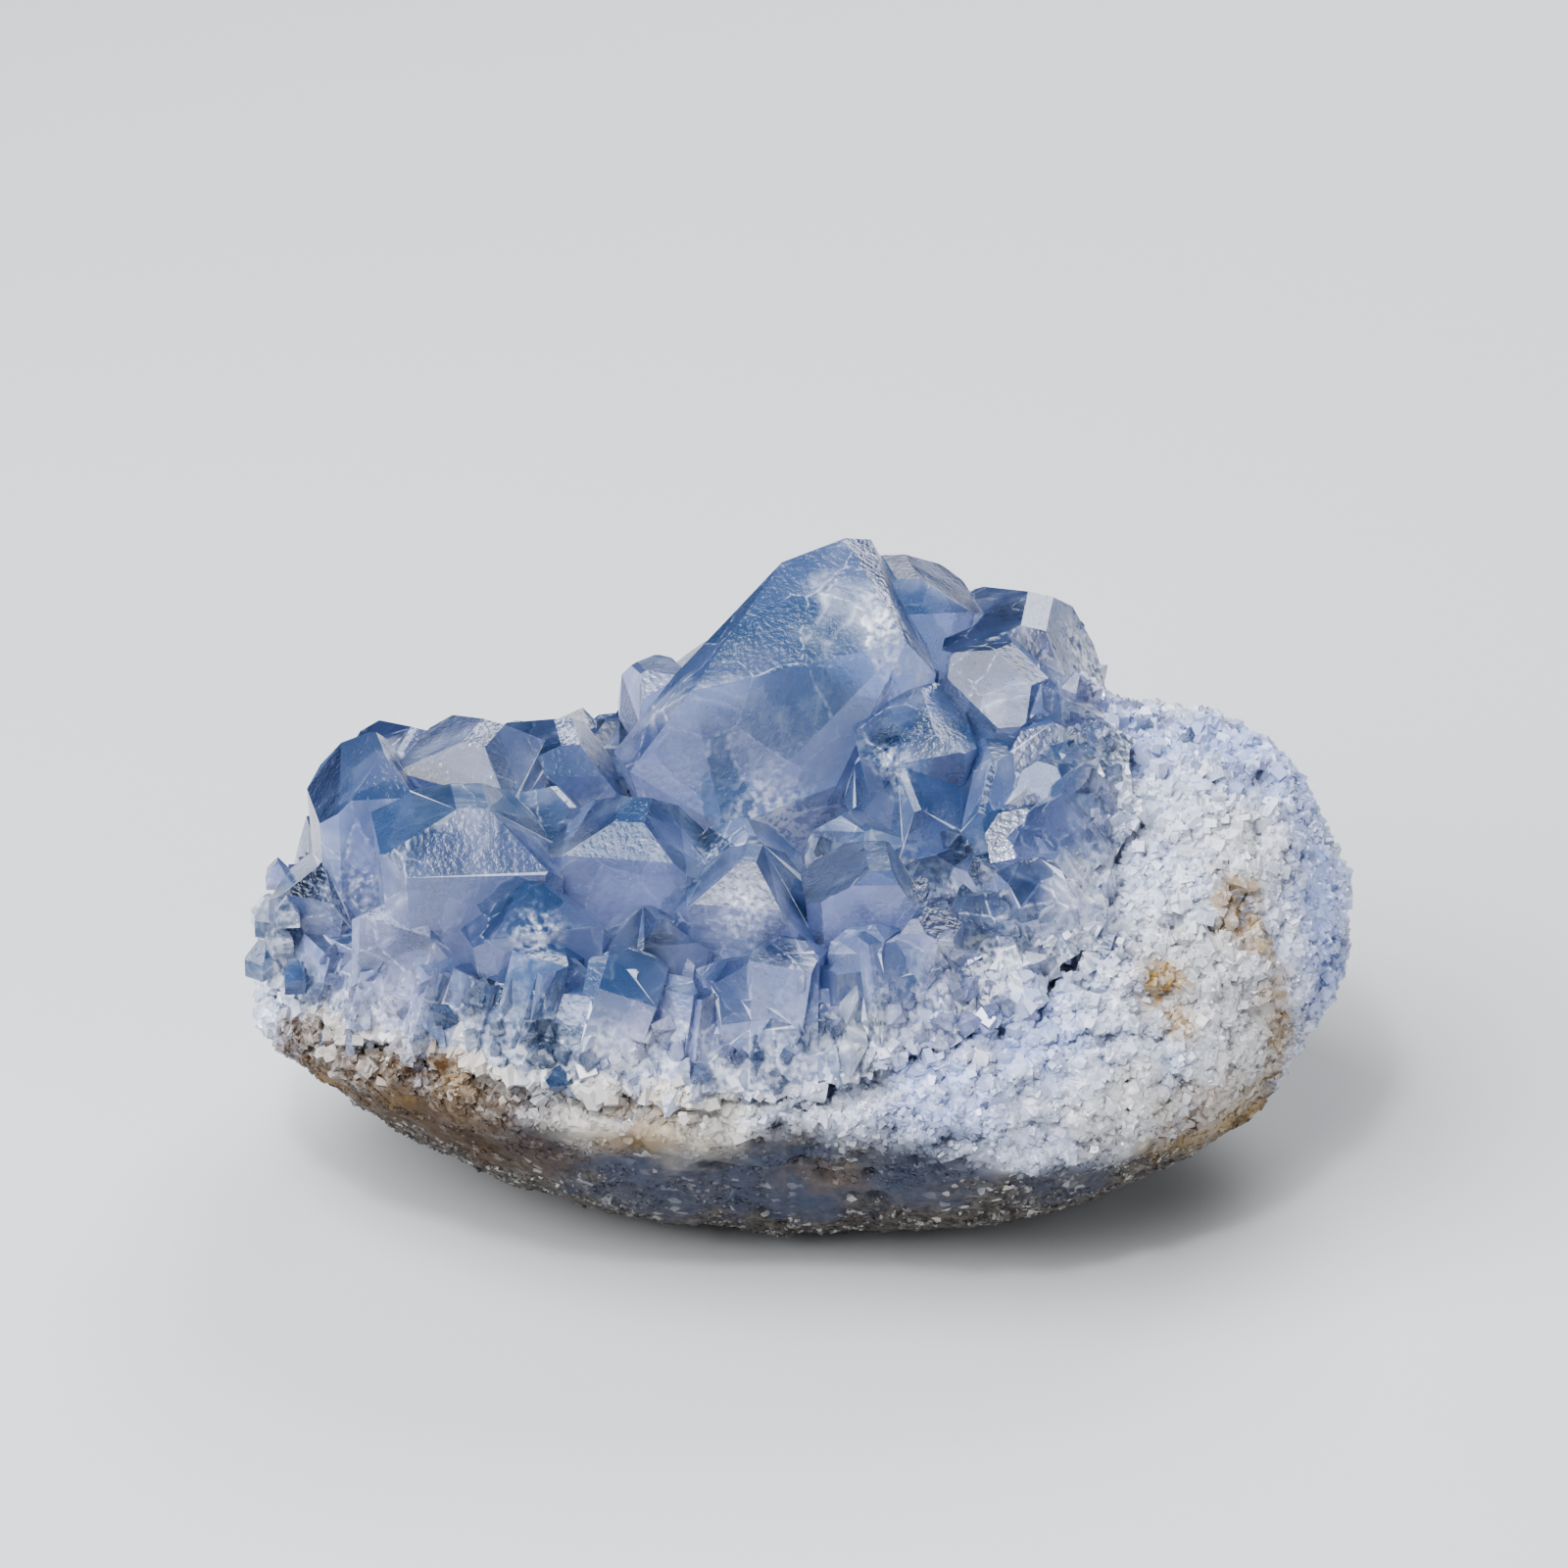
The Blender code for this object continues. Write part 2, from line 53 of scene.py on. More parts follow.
# The planes that break a splinter's two ends: how far round, in radians, and how steep.
SPLINTER_CUTS = ((0.0, 0.7), (2.2, 1.1), (4.1, 0.4), (1.1, -0.8), (3.4, -1.2))

# Every 45 degrees from +X round by the back: how far out and how high the crust's foot runs on the
# wall, and the height where the weathered rind gives way to broken grain.
FOOT_OUT = (26.5, 24.5, 26.5, 34.5, 45.0, 36.6, 29.0, 29.5)
FOOT_UP = (36.5, 33.0, 23.5, 19.5, 18.0, 20.0, 20.0, 27.0)
RIND_UP = (11.5, 15.0, 15.5, 14.5, 13.6, 18.2, 18.0, 13.0)


class Stain(Enum):
    """What discolours the stone, by the name of the mesh attribute that holds it."""

    OCHRE = "ochre"
    RUST = "rust"
    SLATE = "slate"
    CREAM = "cream"
    BLUE = "blue"


class Chip(Enum):
    """Small shapes that are copied many times."""

    GRAIN = "sugary grain"
    SPLINTER = "broken splinter"
    POINT = "small crystal"


def linear(code: str) -> tuple[float, float, float, float]:
    """Turn an sRGB hex colour to linear light.

    Args:
        code: six hex digits, with or without a leading #.

    Returns:
        Linear red, green and blue, and an alpha of 1.
    """
    digits = code.lstrip("#")
    parts = [int(digits[i : i + 2], 16) / 255 for i in (0, 2, 4)]
    lit = [p / 12.92 if p <= 0.04045 else ((p + 0.055) / 1.055) ** 2.4 for p in parts]
    return (*lit, 1.0)


class Nodes:
    """The nodes of one new material."""

    def __init__(self, name: str) -> None:
        """Start an empty material with its Object coordinates.

        Args:
            name: the material's name.
        """
        self.material = bpy.data.materials.new(name)
        self.material.use_nodes = True
        self.tree = self.material.node_tree
        self.tree.nodes.clear()
        self.place = self.add("TexCoord")["Object"]

    def add(self, kind: str, inputs: dict | None = None, **settings: object) -> Outputs:
        """Add one node with its settings, values and links.

        Args:
            kind: the node's type name without the ShaderNode prefix.
            inputs: values or output sockets by input name or number.
            settings: the node's own properties.

        Returns:
            The new node's outputs.
        """
        node = self.tree.nodes.new("ShaderNode" + kind)
        for name, value in settings.items():
            setattr(node, name, value)
        for key, value in (inputs or {}).items():
            if isinstance(value, Socket):
                self.tree.links.new(value, node.inputs[key])
            else:
                node.inputs[key].default_value = value
        return node.outputs

    def layer(self, name: str) -> Socket:
        """Read a mesh attribute's number."""
        return self.add("Attribute", attribute_name=name)["Fac"]

    def mix(self, share: object, under: object, over: object, kind: str = "RGBA") -> Socket:
        """Lay one colour, or one number, over another.

        Args:
            share: how much of the upper one shows.
            under: the lower one, a value or a socket.
            over: the upper one.
            kind: the Mix node's data type.

        Returns:
            The result.
        """
        inputs = {"Factor": share, "A": under, "B": over}
        return self.add("Mix", inputs, data_type=kind)["Result"]

    def maths(self, operation: str, *values: object, clamp: bool = False) -> Socket:
        """Work with numbers.

        Args:
            operation: the Math node's operation.
            values: its numbers or sockets, in order.
            clamp: whether the result is held between 0 and 1.

        Returns:
            The result.
        """
        inputs = dict(enumerate(values))
        return self.add("Math", inputs, operation=operation, use_clamp=clamp)[0]

    def vectors(self, operation: str, *values: object) -> Outputs:
        """Work with vectors, as maths() does with numbers."""
        return self.add("VectorMath", dict(enumerate(values)), operation=operation)

    def ramp(
        self,
        value: Socket,
        low: float = 0.0,
        high: float = 1.0,
        least: float = 0.0,
        most: float = 1.0,
    ) -> Socket:
        """Go from least to most as a value goes from low to high, and no further.

        Args:
            value: the value.
            low: where the change starts.
            high: where it ends.
            least: the result at low.
            most: the result at high.

        Returns:
            The result.
        """
        ends = {"From Min": low, "From Max": high, "To Min": least, "To Max": most}
        return self.add("MapRange", {"Value": value, **ends})["Result"]

    def noise(self, width: float, detail: float, roughness: float = 0.5) -> Outputs:
        """Add soft noise.

        Args:
            width: width of its largest blots, in mm.
            detail: how many finer layers it has.
            roughness: how strong the finer layers are.

        Returns:
            The noise, as a number and as a colour.
        """
        look = {"Scale": 1 / (width * MM), "Detail": detail, "Roughness": roughness}
        return self.add("TexNoise", {"Vector": self.place, **look})

    def blocks(self, place: Socket, width: float, **settings: object) -> Outputs:
        """Part space into blocks.

        Args:
            place: the coordinates.
            width: mean width of a block, in mm.
            settings: the Voronoi node's own properties.

        Returns:
            Each block's colour, and the distance from its middle or its border.
        """
        inputs = {"Vector": place, "Scale": 1 / (width * MM)}
        return self.add("TexVoronoi", inputs, **settings)


def select_only(*objects: Piece) -> None:
    """Select these objects alone, the first of them active.

    Args:
        objects: what to select.
    """
    bpy.ops.object.select_all(action="DESELECT")
    for obj in objects:
        obj.select_set(True)
    bpy.context.view_layer.objects.active = objects[0]


def apply_modifiers(obj: Piece) -> None:
    """Apply all of an object's modifiers in order.

    Args:
        obj: the mesh object.
    """
    select_only(obj)
    for modifier in list(obj.modifiers):
        bpy.ops.object.modifier_apply(modifier=modifier.name)


def copy_of_node(node: str, name: str) -> Piece:
    """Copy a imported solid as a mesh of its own, with its corners merged.

    Args:
        node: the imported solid's name.
        name: the new piece's name.

    Returns:
        The new object, in the scene.
    """
    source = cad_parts[node]
    piece = bpy.data.objects.new(name, source.data.copy())
    piece.data.name = name
    piece.data.materials.clear()
    bpy.context.scene.collection.objects.link(piece)
    select_only(piece)
    bpy.ops.object.mode_set(mode="EDIT")
    bpy.ops.mesh.select_all(action="SELECT")
    bpy.ops.mesh.remove_doubles(threshold=0.000002)
    bpy.ops.object.mode_set(mode="OBJECT")
    return piece


def corners_of(obj: Piece) -> np.ndarray:
    """Read a mesh's corners.

    Args:
        obj: the mesh object.

    Returns:
        One row a corner, in mm.
    """
    points = np.empty(len(obj.data.vertices) * 3)
    obj.data.vertices.foreach_get("co", points)
    return points.reshape(-1, 3) / MM


def triangles_of(obj: Piece) -> np.ndarray:
    """Read a mesh's triangles.

    Args:
        obj: the mesh object.

    Returns:
        One row a triangle, of three corner numbers.
    """
    mesh = obj.data
    mesh.calc_loop_triangles()
    corners = np.empty(len(mesh.loop_triangles) * 3, dtype=np.int32)
    mesh.loop_triangles.foreach_get("vertices", corners)
    return corners.reshape(-1, 3)


def ease(low: float, high: float, value: np.ndarray) -> np.ndarray:
    """Rise smoothly from 0 at low to 1 at high, or fall where high is under low."""
    share = np.clip((value - low) / (high - low), 0.0, 1.0)
    return share * share * (3 - 2 * share)


def around(table: tuple[float, ...], points: np.ndarray) -> np.ndarray:
    """Read a table of eight compass directions at the points' directions from the middle.

    Args:
        table: one value every 45 degrees from +X round by the back.
        points: places in mm.

    Returns:
        One value a point, smooth between the directions.
    """
    turn = np.degrees(np.arctan2(points[:, 1] - MIDDLE[1], points[:, 0] - MIDDLE[0])) % 360 / 45
    low = turn.astype(int) % 8
    share = turn - np.floor(turn)
    share = share * share * (3 - 2 * share)
    values = np.asarray(table)
    return values[low] * (1 - share) + values[(low + 1) % 8] * share


def rough(points: np.ndarray, size: float, seed: int, octaves: int = 3) -> np.ndarray:
    """Give each point a value of soft noise, from about -1 to 1.

    Args:
        points: places in mm.
        size: width of the largest blot, in mm.
        seed: shifts the pattern.
        octaves: how many finer layers are added.

    Returns:
        One value a point.
    """
    shift = Vector((seed * 17.3, seed * 5.1, seed * 9.7))
    return np.array(
        [noise.fractal(Vector(p) / size + shift, 0.9, 2.0, octaves) for p in points.tolist()]
    )


def facets(points: np.ndarray, size: float, tilt: float, seed: int) -> np.ndarray:
    """Break a surface into flat facets, each with its own height and tilt, as stone breaks.

    Args:
        points: places in mm.
        size: mean width of a facet, in mm.
        tilt: rise over run of the steepest facets.
        seed: fixes the pattern.

    Returns:
        A height for each point, in mm.
    """
    rng = np.random.default_rng(seed)
    low, high = points.min(axis=0) - size, points.max(axis=0) + size
    count = int(np.prod((high - low) / size))
    centres = rng.uniform(low, high, (count, 3))
    slopes = rng.normal(0, tilt, (count, 3))
    lift = rng.uniform(-0.5, 0.5, count) * size * tilt
    tree = KDTree(count)
    for number, centre in enumerate(centres.tolist()):
        tree.insert(centre, number)
    tree.balance()
    nearest = np.array([tree.find(p)[1] for p in points.tolist()])
    return lift[nearest] + ((points - centres[nearest]) * slopes[nearest]).sum(axis=1)


def frames_along(axes: np.ndarray, rng: np.random.Generator) -> np.ndarray:
    """Give each axis a frame turned at random about it.

    Args:
        axes: unit vectors.
        rng: the source of the turns.

    Returns:
        One matrix an axis, whose last column is the axis.
    """
    side = np.cross(axes, rng.normal(size=axes.shape))
    side /= np.linalg.norm(side, axis=1, keepdims=True)
    return np.stack((side, np.cross(axes, side), axes), axis=2)


def unit(vectors: np.ndarray) -> np.ndarray:
    """Scale vectors to a length of 1."""
    return vectors / np.maximum(np.linalg.norm(vectors, axis=1, keepdims=True), 1e-9)


def set_attribute(obj: Piece, name: str, values: np.ndarray) -> None:
    """Store one number a corner on a mesh, for its material to read."""
    layer = obj.data.attributes.get(name) or obj.data.attributes.new(name, "FLOAT", "POINT")
    layer.data.foreach_set("value", np.asarray(values, dtype=np.float32))


@dataclass(frozen=True)
class ChipModel:
    """One small shape, modelled once: a block or a prism with its corners broken off."""

    kind: Chip
    seed: int

    def model(self) -> Model:
        """Model the shape about the origin, about 1 unit wide.

        Returns:
            Its corners and its triangles.
        """
        rng = random.Random(f"{self.kind.value} {self.seed}")
        bpy.ops.object.select_all(action="DESELECT")
        if self.kind is Chip.SPLINTER:
            bpy.ops.mesh.primitive_cylinder_add(vertices=5, radius=0.5, depth=1.0)
        else:
            bpy.ops.mesh.primitive_cube_add(size=1.0)
        block = bpy.context.active_object
        bpy.ops.object.mode_set(mode="EDIT")
        for normal, far in self.cuts(rng):
            bpy.ops.mesh.select_all(action="SELECT")
            bpy.ops.mesh.bisect(
                plane_co=normal * far, plane_no=normal, use_fill=True, clear_outer=True
            )
        bpy.ops.mesh.select_all(action="SELECT")
        bpy.ops.mesh.quads_convert_to_tris()
        bpy.ops.mesh.normals_make_consistent(inside=False)
        bpy.ops.object.mode_set(mode="OBJECT")
        points, corners = corners_of(block) * MM, triangles_of(block)
        bpy.data.objects.remove(block)
        return points, corners

    def cuts(self, rng: random.Random) -> list[tuple[Vector, float]]:
        """List the planes that break the block's corners off.

        Args:
            rng: the source of their directions.

        Returns:
            A normal and a distance from the origin for each plane.
        """
        planes = []
        if self.kind is Chip.GRAIN:
            for _ in range(2):
                way = Vector([rng.uniform(-1, 1) for _ in range(3)]).normalized()
                planes.append((way, rng.uniform(0.3, 0.45)))
        elif self.kind is Chip.SPLINTER:
            turn = rng.uniform(0, math.tau)
            for step, rise in SPLINTER_CUTS:
                way = Vector((math.cos(turn + step), math.sin(turn + step), rise)).normalized()
                planes.append((way, rng.uniform(0.22, 0.38)))
        else:
            for side, rise in ((1, 0.9), (-1, 1.1)):
                planes.append((Vector((side, 0, rise)).normalized(), rng.uniform(0.26, 0.34)))
            for side in (1, -1):
                planes.append((Vector((0, side, 0.8)).normalized(), rng.uniform(0.36, 0.44)))
        return planes


def join_copies(
    name: str,
    models: list[Model],
    places: np.ndarray,
    axes: np.ndarray,
    sizes: np.ndarray,
    values: dict[str, np.ndarray],
    rng: np.random.Generator,
) -> Piece:
    """Copy small shapes to many places as one mesh.

    Args:
        name: the piece's name.
        models: corners and triangles of each shape.
        places: where each copy goes, in mm.
        axes: the way each copy points.
        sizes: each copy's width, depth and length, in mm.
        values: numbers for the material, one a copy, by attribute name.
        rng: the source of the turns and of which shape goes where.

    Returns:
        The new object, in the scene.
    """
    frames = frames_along(unit(axes), rng)
    pick = rng.integers(len(models), size=len(places))
    all_points, all_corners, owners, start = [], [], [], 0
    for number, (points, corners) in enumerate(models):
        chosen = np.flatnonzero(pick == number)
        local = points[None] * sizes[chosen][:, None, :]
        placed = np.einsum("nij,nvj->nvi", frames[chosen], local) + places[chosen][:, None]
        steps = start + np.arange(len(chosen))[:, None, None] * len(points)
        all_points.append(placed.reshape(-1, 3))
        all_corners.append((corners[None] + steps).reshape(-1, 3))
        owners.append(np.repeat(chosen, len(points)))
        start += len(chosen) * len(points)
    mesh = bpy.data.meshes.new(name)
    mesh.from_pydata(
        (np.concatenate(all_points) * MM).tolist(), [], np.concatenate(all_corners).tolist()
    )
    mesh.update()
    piece = bpy.data.objects.new(name, mesh)
    bpy.context.scene.collection.objects.link(piece)
    owner = np.concatenate(owners)
    for key, numbers in values.items():
        set_attribute(piece, key, numbers[owner])
    return piece


@dataclass(frozen=True)
class Skin:
    """Points on a piece's surface, to grow small shapes on."""

    points: np.ndarray
    normals: np.ndarray

    @classmethod
    def sample(cls, obj: Piece, count: int, seed: int) -> Skin:
        """Spread points evenly over a mesh.

        Args:
            obj: the mesh object.
            count: how many points.
            seed: fixes the choice.

        Returns:
            The points and their normals.
        """
        rng = np.random.default_rng(seed)
        corners, triangles = corners_of(obj), triangles_of(obj)
        a, b, c = (corners[triangles[:, k]] for k in range(3))
        cross = np.cross(b - a, c - a)
        area = np.linalg.norm(cross, axis=1)
        pick = rng.choice(len(area), size=count, p=area / area.sum())
        u, v = rng.random((2, count, 1))
        flip = (u + v) > 1
        u, v = np.where(flip, 1 - u, u), np.where(flip, 1 - v, v)
        points = a[pick] + u * (b - a)[pick] + v * (c - a)[pick]
        return cls(points, unit(cross[pick]))

    def only(self, keep: np.ndarray) -> Skin:
        """Keep some of the points."""
        return Skin(self.points[keep], self.normals[keep])

    def __len__(self) -> int:
        """Count the points."""
        return len(self.points)


def rind_height(points: np.ndarray) -> np.ndarray:
    """Tell how far each point lies over the top of the rind, in mm, along a wavering line."""
    return points[:, 2] - around(RIND_UP, points) + 1.6 * rough(points, 9.0, 3)


def foot_height(points: np.ndarray) -> np.ndarray:
    """Tell how far each point lies over the crust's foot, in mm."""
    return points[:, 2] - around(FOOT_UP, points)


def outward(points: np.ndarray) -> np.ndarray:
    """Tell how far out each point lies, as a share of the way to the crust's foot."""
    return np.hypot(points[:, 0] - MIDDLE[0], points[:, 1] - MIDDLE[1]) / around(FOOT_OUT, points)


def bed_height(points: np.ndarray) -> np.ndarray:
    """Tell how far each point lies over the bed that the crystals grow from, in mm."""
    share = np.clip(outward(points), 0, 1) ** 2
    floor = BED_UP * (1 - share) + around(FOOT_UP, points) * share
    return points[:, 2] - floor


# Each stain's blots: their middle, their reach and how strong they are.
SPOTS = {
    Stain.OCHRE: (
        (36.2, -13.4, 30.4, 2.8, 0.9),
        (38.0, -14.7, 27.3, 1.9, 0.8),
        (38.8, -15.7, 23.4, 2.0, 0.7),
        (39.8, -15.5, 19.6, 2.6, 0.7),
        (29.4, -20.2, 27.0, 2.0, 1.0),
        (30.5, -21.6, 24.4, 1.8, 0.8),
        (33.0, -21.5, 13.5, 5.5, 0.5),
        (38.5, -14.5, 12.5, 5.0, 0.6),
        (-28.5, -25.0, 19.5, 3.2, 0.8),
        (-13.0, -28.3, 18.0, 3.4, 0.5),
        (2.0, -27.0, 12.0, 3.2, 0.25),
        (25.0, 27.5, 20.0, 7.0, 0.5),
        (-21.0, 24.0, 12.0, 7.0, 0.5),
        (-40.0, -15.0, 14.0, 4.0, 0.6),
        (-34.0, -21.0, 17.0, 3.6, 0.7),
    ),
    Stain.RUST: (
        (-41.6, -14.0, 17.2, 3.8, 1.0),
        (-38.6, -17.0, 16.6, 3.4, 0.9),
        (-32.0, -22.0, 19.0, 3.6, 1.0),
        (-29.6, -24.0, 17.6, 4.4, 1.0),
        (-25.4, -25.8, 17.8, 3.8, 0.9),
        (-27.0, -21.0, 11.0, 3.8, 0.9),
        (-35.3, -15.4, 11.8, 4.0, 0.5),
        (-36.0, -19.0, 15.0, 6.0, 0.9),
        (-31.0, -22.0, 14.0, 6.0, 0.9),
        (-23.0, -25.0, 14.0, 5.0, 0.8),
        (12.0, 28.0, 12.0, 7.0, 0.6),
        (-35.0, 14.0, 10.0, 6.0, 0.6),
    ),
    Stain.SLATE: (
        (-12.0, -25.4, 10.4, 8.0, 0.8),
        (-1.5, -26.0, 11.0, 8.0, 1.0),
        (9.0, -28.0, 13.2, 6.5, 0.9),
        (22.0, -24.5, 11.0, 5.0, 0.6),
        (-22.0, -26.5, 14.5, 5.0, 0.6),
        (-10.0, 26.0, 11.0, 9.0, 0.7),
    ),
    Stain.CREAM: (
        (-38.0, -17.0, 19.5, 6.0, 0.8),
        (-27.0, -25.5, 20.5, 5.5, 0.8),
        (36.0, -17.5, 18.0, 8.0, 0.6),
        (34.0, -17.0, 23.5, 6.0, 0.5),
        (-18.0, -28.0, 19.5, 5.0, 0.7),
        (-8.5, -29.2, 19.0, 5.5, 0.9),
        (26.4, -26.2, 16.8, 5.5, 0.6),
        (33.0, -18.5, 27.0, 6.5, 0.5),
        (37.0, -8.0, 33.0, 5.0, 0.4),
    ),
    Stain.BLUE: (
        (27.5, 6.0, 37.5, 7.0, 0.8),
        (34.0, 5.0, 37.2, 7.5, 0.8),
        (41.8, 4.0, 33.0, 6.5, 0.8),
        (43.0, -5.0, 29.0, 6.0, 0.9),
        (43.6, -8.5, 23.0, 6.0, 0.8),
        (18.0, -24.5, 25.0, 5.0, 0.7),
        (11.0, -28.0, 21.5, 5.0, 0.7),
    ),
}
# White crumbs and cracks on the large crystals: the middle and reach of each patch.
FROSTED = (
    (7.2, 11.1, 47.6, 2.4),
    (8.0, 8.1, 46.7, 2.6),
    (8.8, 5.0, 45.0, 2.4),
    (8.0, -1.5, 38.2, 3.0),
    (24.2, 18.4, 39.5, 5.0),
    (-4.0, -19.1, 34.9, 3.6),
    (-21.0, -20.6, 32.5, 3.2),
    (-1.5, 0.6, 32.2, 5.0),
    (-6.7, -7.8, 33.6, 2.2),
    (15.2, -21.9, 28.4, 4.4),
    (19.3, -20.0, 28.4, 3.4),
    (-36.0, -8.0, 30.0, 4.0),
)
# Deep gaps between the crystals, with dark blue painted in as painted shade: the middle and reach
# of each patch.
PAINTED_SHADE_GAPS = (
    (-11.7, -21.7, 31.8, 2.6),
    (0.6, -16.0, 33.4, 2.4),
    (6.4, -25.2, 27.1, 2.4),
    (-8.4, -5.0, 33.0, 3.4),
    (15.2, -19.6, 31.4, 2.4),
)
# Small rounded crystals at the left rim: the middle and width of each.
RIM = (
    (-44.2, -6.5, 26.3, 2.6),
    (-43.4, -9.4, 25.6, 2.2),
    (-42.6, -9.9, 28.4, 2.0),
    (-44.8, -3.2, 25.0, 2.4),
    (-44.0, -1.0, 27.4, 2.0),
    (-45.0, -7.6, 22.8, 2.4),
    (-42.0, -12.0, 23.6, 2.2),
)


def stain_values(points: np.ndarray) -> dict[str, np.ndarray]:
    """Work out how strongly each stain, and the broken grain, shows at each point.

    Args:
        points: places in mm.

    Returns:
        Numbers from 0 to 1 by attribute name. "sugar" is 1 on broken grain and 0 on the rind.
    """
    ragged = 1 + 0.45 * rough(points, 2.4, 7)
    values = {}
    for kind, spots in SPOTS.items():
        shown = np.zeros(len(points))
        for *middle, reach, strength in spots:
            far = np.linalg.norm(points - np.array(middle), axis=1)
            shown = np.maximum(shown, strength * ease(1.3, 0.5, far / (reach * ragged)))
        values[kind.value] = shown
    values["sugar"] = ease(-1.6, 1.8, rind_height(points))
    return values


@dataclass(frozen=True)
class CelestineFinish:
    """Celestine, grown in a cavity: glassy faces, feathery cracks and milky roots.

    The faces mirror crisply and the body is see-through, a little blue in depth. A milky share of
    diffuse light gives each facet its own tone, from steel blue to lavender; on the large crystals
    that tone is painted shade by facing, darker steel blue on upward faces, and dark blue painted
    shade fills the deep gaps. The cracks catch the light as pale streaks that run another way in
    each part of a crystal, and the narrow edge faces are painted pale as painted highlights.
    """

    name: str = "celestine_grown_crystal"
    steel: str = "#5979a6"
    lavender: str = "#b3bdec"
    milk: str = "#e9edf6"
    # Painted shade colour for the deep gaps.
    painted_gap_shade: str = "#2c4868"
    depth: tuple[float, float, float, float] = (0.42, 0.62, 0.82, 1.0)
    density: float = 42.0
    ior: float = 1.62
    clearness: tuple[float, float] = (0.9, 0.22)
    roughness: tuple[float, float] = (0.07, 0.36)
    hue_mm: float = 14.0
    cloud_mm: float = 6.0
    feather_mm: float = 5.5
    bend_mm: float = 1.5
    step_mm: float = 2.6
    crumb_mm: float = 0.6
    speck_mm: float = 0.45
    streak_mm: float = 0.4
    faceted: bool = True
    frosted: tuple[Patch, ...] = ()
    gaps: tuple[Patch, ...] = ()

    def make(self) -> bpy.types.Material:
        """Build the material.

        Returns:
            The material.
        """
        nodes = Nodes(self.name)
        bend = nodes.noise(3.0, 2.0)["Color"]
        bent = nodes.vectors("MULTIPLY_ADD", bend, (self.bend_mm * MM,) * 3, nodes.place)["Vector"]
        cells = nodes.blocks(bent, self.feather_mm)["Color"]
        milky = self.milkiness(nodes, bent, cells)
        tone = self.tone_with_painted_shade(nodes, bent, cells)
        clear = nodes.ramp(milky, least=self.clearness[0], most=self.clearness[1])
        gloss = nodes.ramp(milky, least=self.roughness[0], most=self.roughness[1])
        if self.faceted:
            open_face = nodes.ramp(nodes.layer("clear"), least=0.55, most=1.05)
            clear = nodes.maths("MULTIPLY", clear, open_face, clamp=True)
            gloss = nodes.maths("MULTIPLY_ADD", nodes.layer("etched"), 0.22, gloss)
        steps = nodes.noise(self.step_mm, 0.0)["Fac"]
        specks = nodes.noise(self.speck_mm, 2.0)["Fac"]
        uneven = nodes.maths("MULTIPLY_ADD", steps, 0.9, specks)
        bump = nodes.add("Bump", {"Height": uneven, "Strength": 0.24, "Distance": 0.3 * MM})
        shader = nodes.add(
            "BsdfPrincipled",
            {
                "Base Color": nodes.mix(milky, tone, linear(self.milk)),
                "Roughness": gloss,
                "IOR": self.ior,
                "Transmission Weight": clear,
                "Normal": bump["Normal"],
            },
        )
        inside = nodes.add("VolumeAbsorption", {"Color": self.depth, "Density": self.density})
        nodes.add("OutputMaterial", {"Surface": shader["BSDF"], "Volume": inside["Volume"]})
        return nodes.material

    def tone_with_painted_shade(self, nodes: Nodes, bent: Socket, cells: Socket) -> Socket:
        """Work out the clear crystal's tone: lavender to steel blue, with painted shade by facing
        on the large crystals and dark blue painted shade in the deep gaps.

        Args:
            nodes: the material's nodes.
            bent: the coordinates, bent a little.
            cells: the colours of the blocks that the crystal is cracked into.

        Returns:
            The colour.
        """
        facing_shade_and_tint = nodes.ramp(nodes.noise(self.hue_mm, 2.0)["Fac"], 0.42, 0.58)
        if self.faceted:
            # Painted shade: the more a face looks up, the more it leans to darker steel blue.
            facing_shade_and_tint = nodes.mix(0.72, facing_shade_and_tint, nodes.layer("facet"), "FLOAT")
        shift = nodes.add("SeparateColor", {"Color": cells})["Red"]
        shift = nodes.ramp(shift, least=-0.3, most=0.3)
        facing_shade_and_tint = nodes.maths("ADD", facing_shade_and_tint, shift, clamp=True)
        tone = nodes.mix(facing_shade_and_tint, linear(self.lavender), linear(self.steel))
        # Painted shade: dark blue painted into the deep gaps between the crystals.
        for gap in self.gaps:
            tone = nodes.mix(self.near(nodes, bent, gap, 1.3), tone, linear(self.painted_gap_shade))
        return tone

    def milkiness(self, nodes: Nodes, bent: Socket, cells: Socket) -> Socket:
        """Work out where the crystal is milky: clouds, feathers, cracks and roots.

        Args:
            nodes: the material's nodes.
            bent: the coordinates, bent a little.
            cells: the colours of the blocks, which turn the feathers.

        Returns:
            A share from 0, clear, to 1, white.
        """
        way = nodes.vectors("SUBTRACT", cells, (0.5, 0.5, 0.5))["Vector"]
        across = nodes.vectors("DOT_PRODUCT", bent, way)["Value"]
        streaks = nodes.add(
            "TexNoise",
            {"W": across, "Scale": 1 / (self.streak_mm * MM), "Detail": 3.0, "Roughness": 0.7},
            noise_dimensions="1D",
        )["Fac"]
        lines = nodes.ramp(streaks, 0.50, 0.76, most=0.42)
        cloud = nodes.noise(self.cloud_mm, 3.0)["Fac"]
        feathers = nodes.maths("MULTIPLY", lines, nodes.ramp(cloud, 0.46, 0.60))
        patchy = nodes.maths("ADD", nodes.ramp(cloud, 0.48, 0.80, most=0.8), feathers)
        crumbs = nodes.noise(self.crumb_mm, 2.0)["Fac"]
        if self.faceted:
            patchy = self.crack(nodes, bent, crumbs, patchy)
        uneven = nodes.ramp(crumbs, 0.38, 0.62, 0.3, 1.2)
        roots = nodes.maths("MULTIPLY", nodes.layer("root"), uneven)
        return nodes.maths("MULTIPLY_ADD", roots, 0.85, patchy, clamp=True)

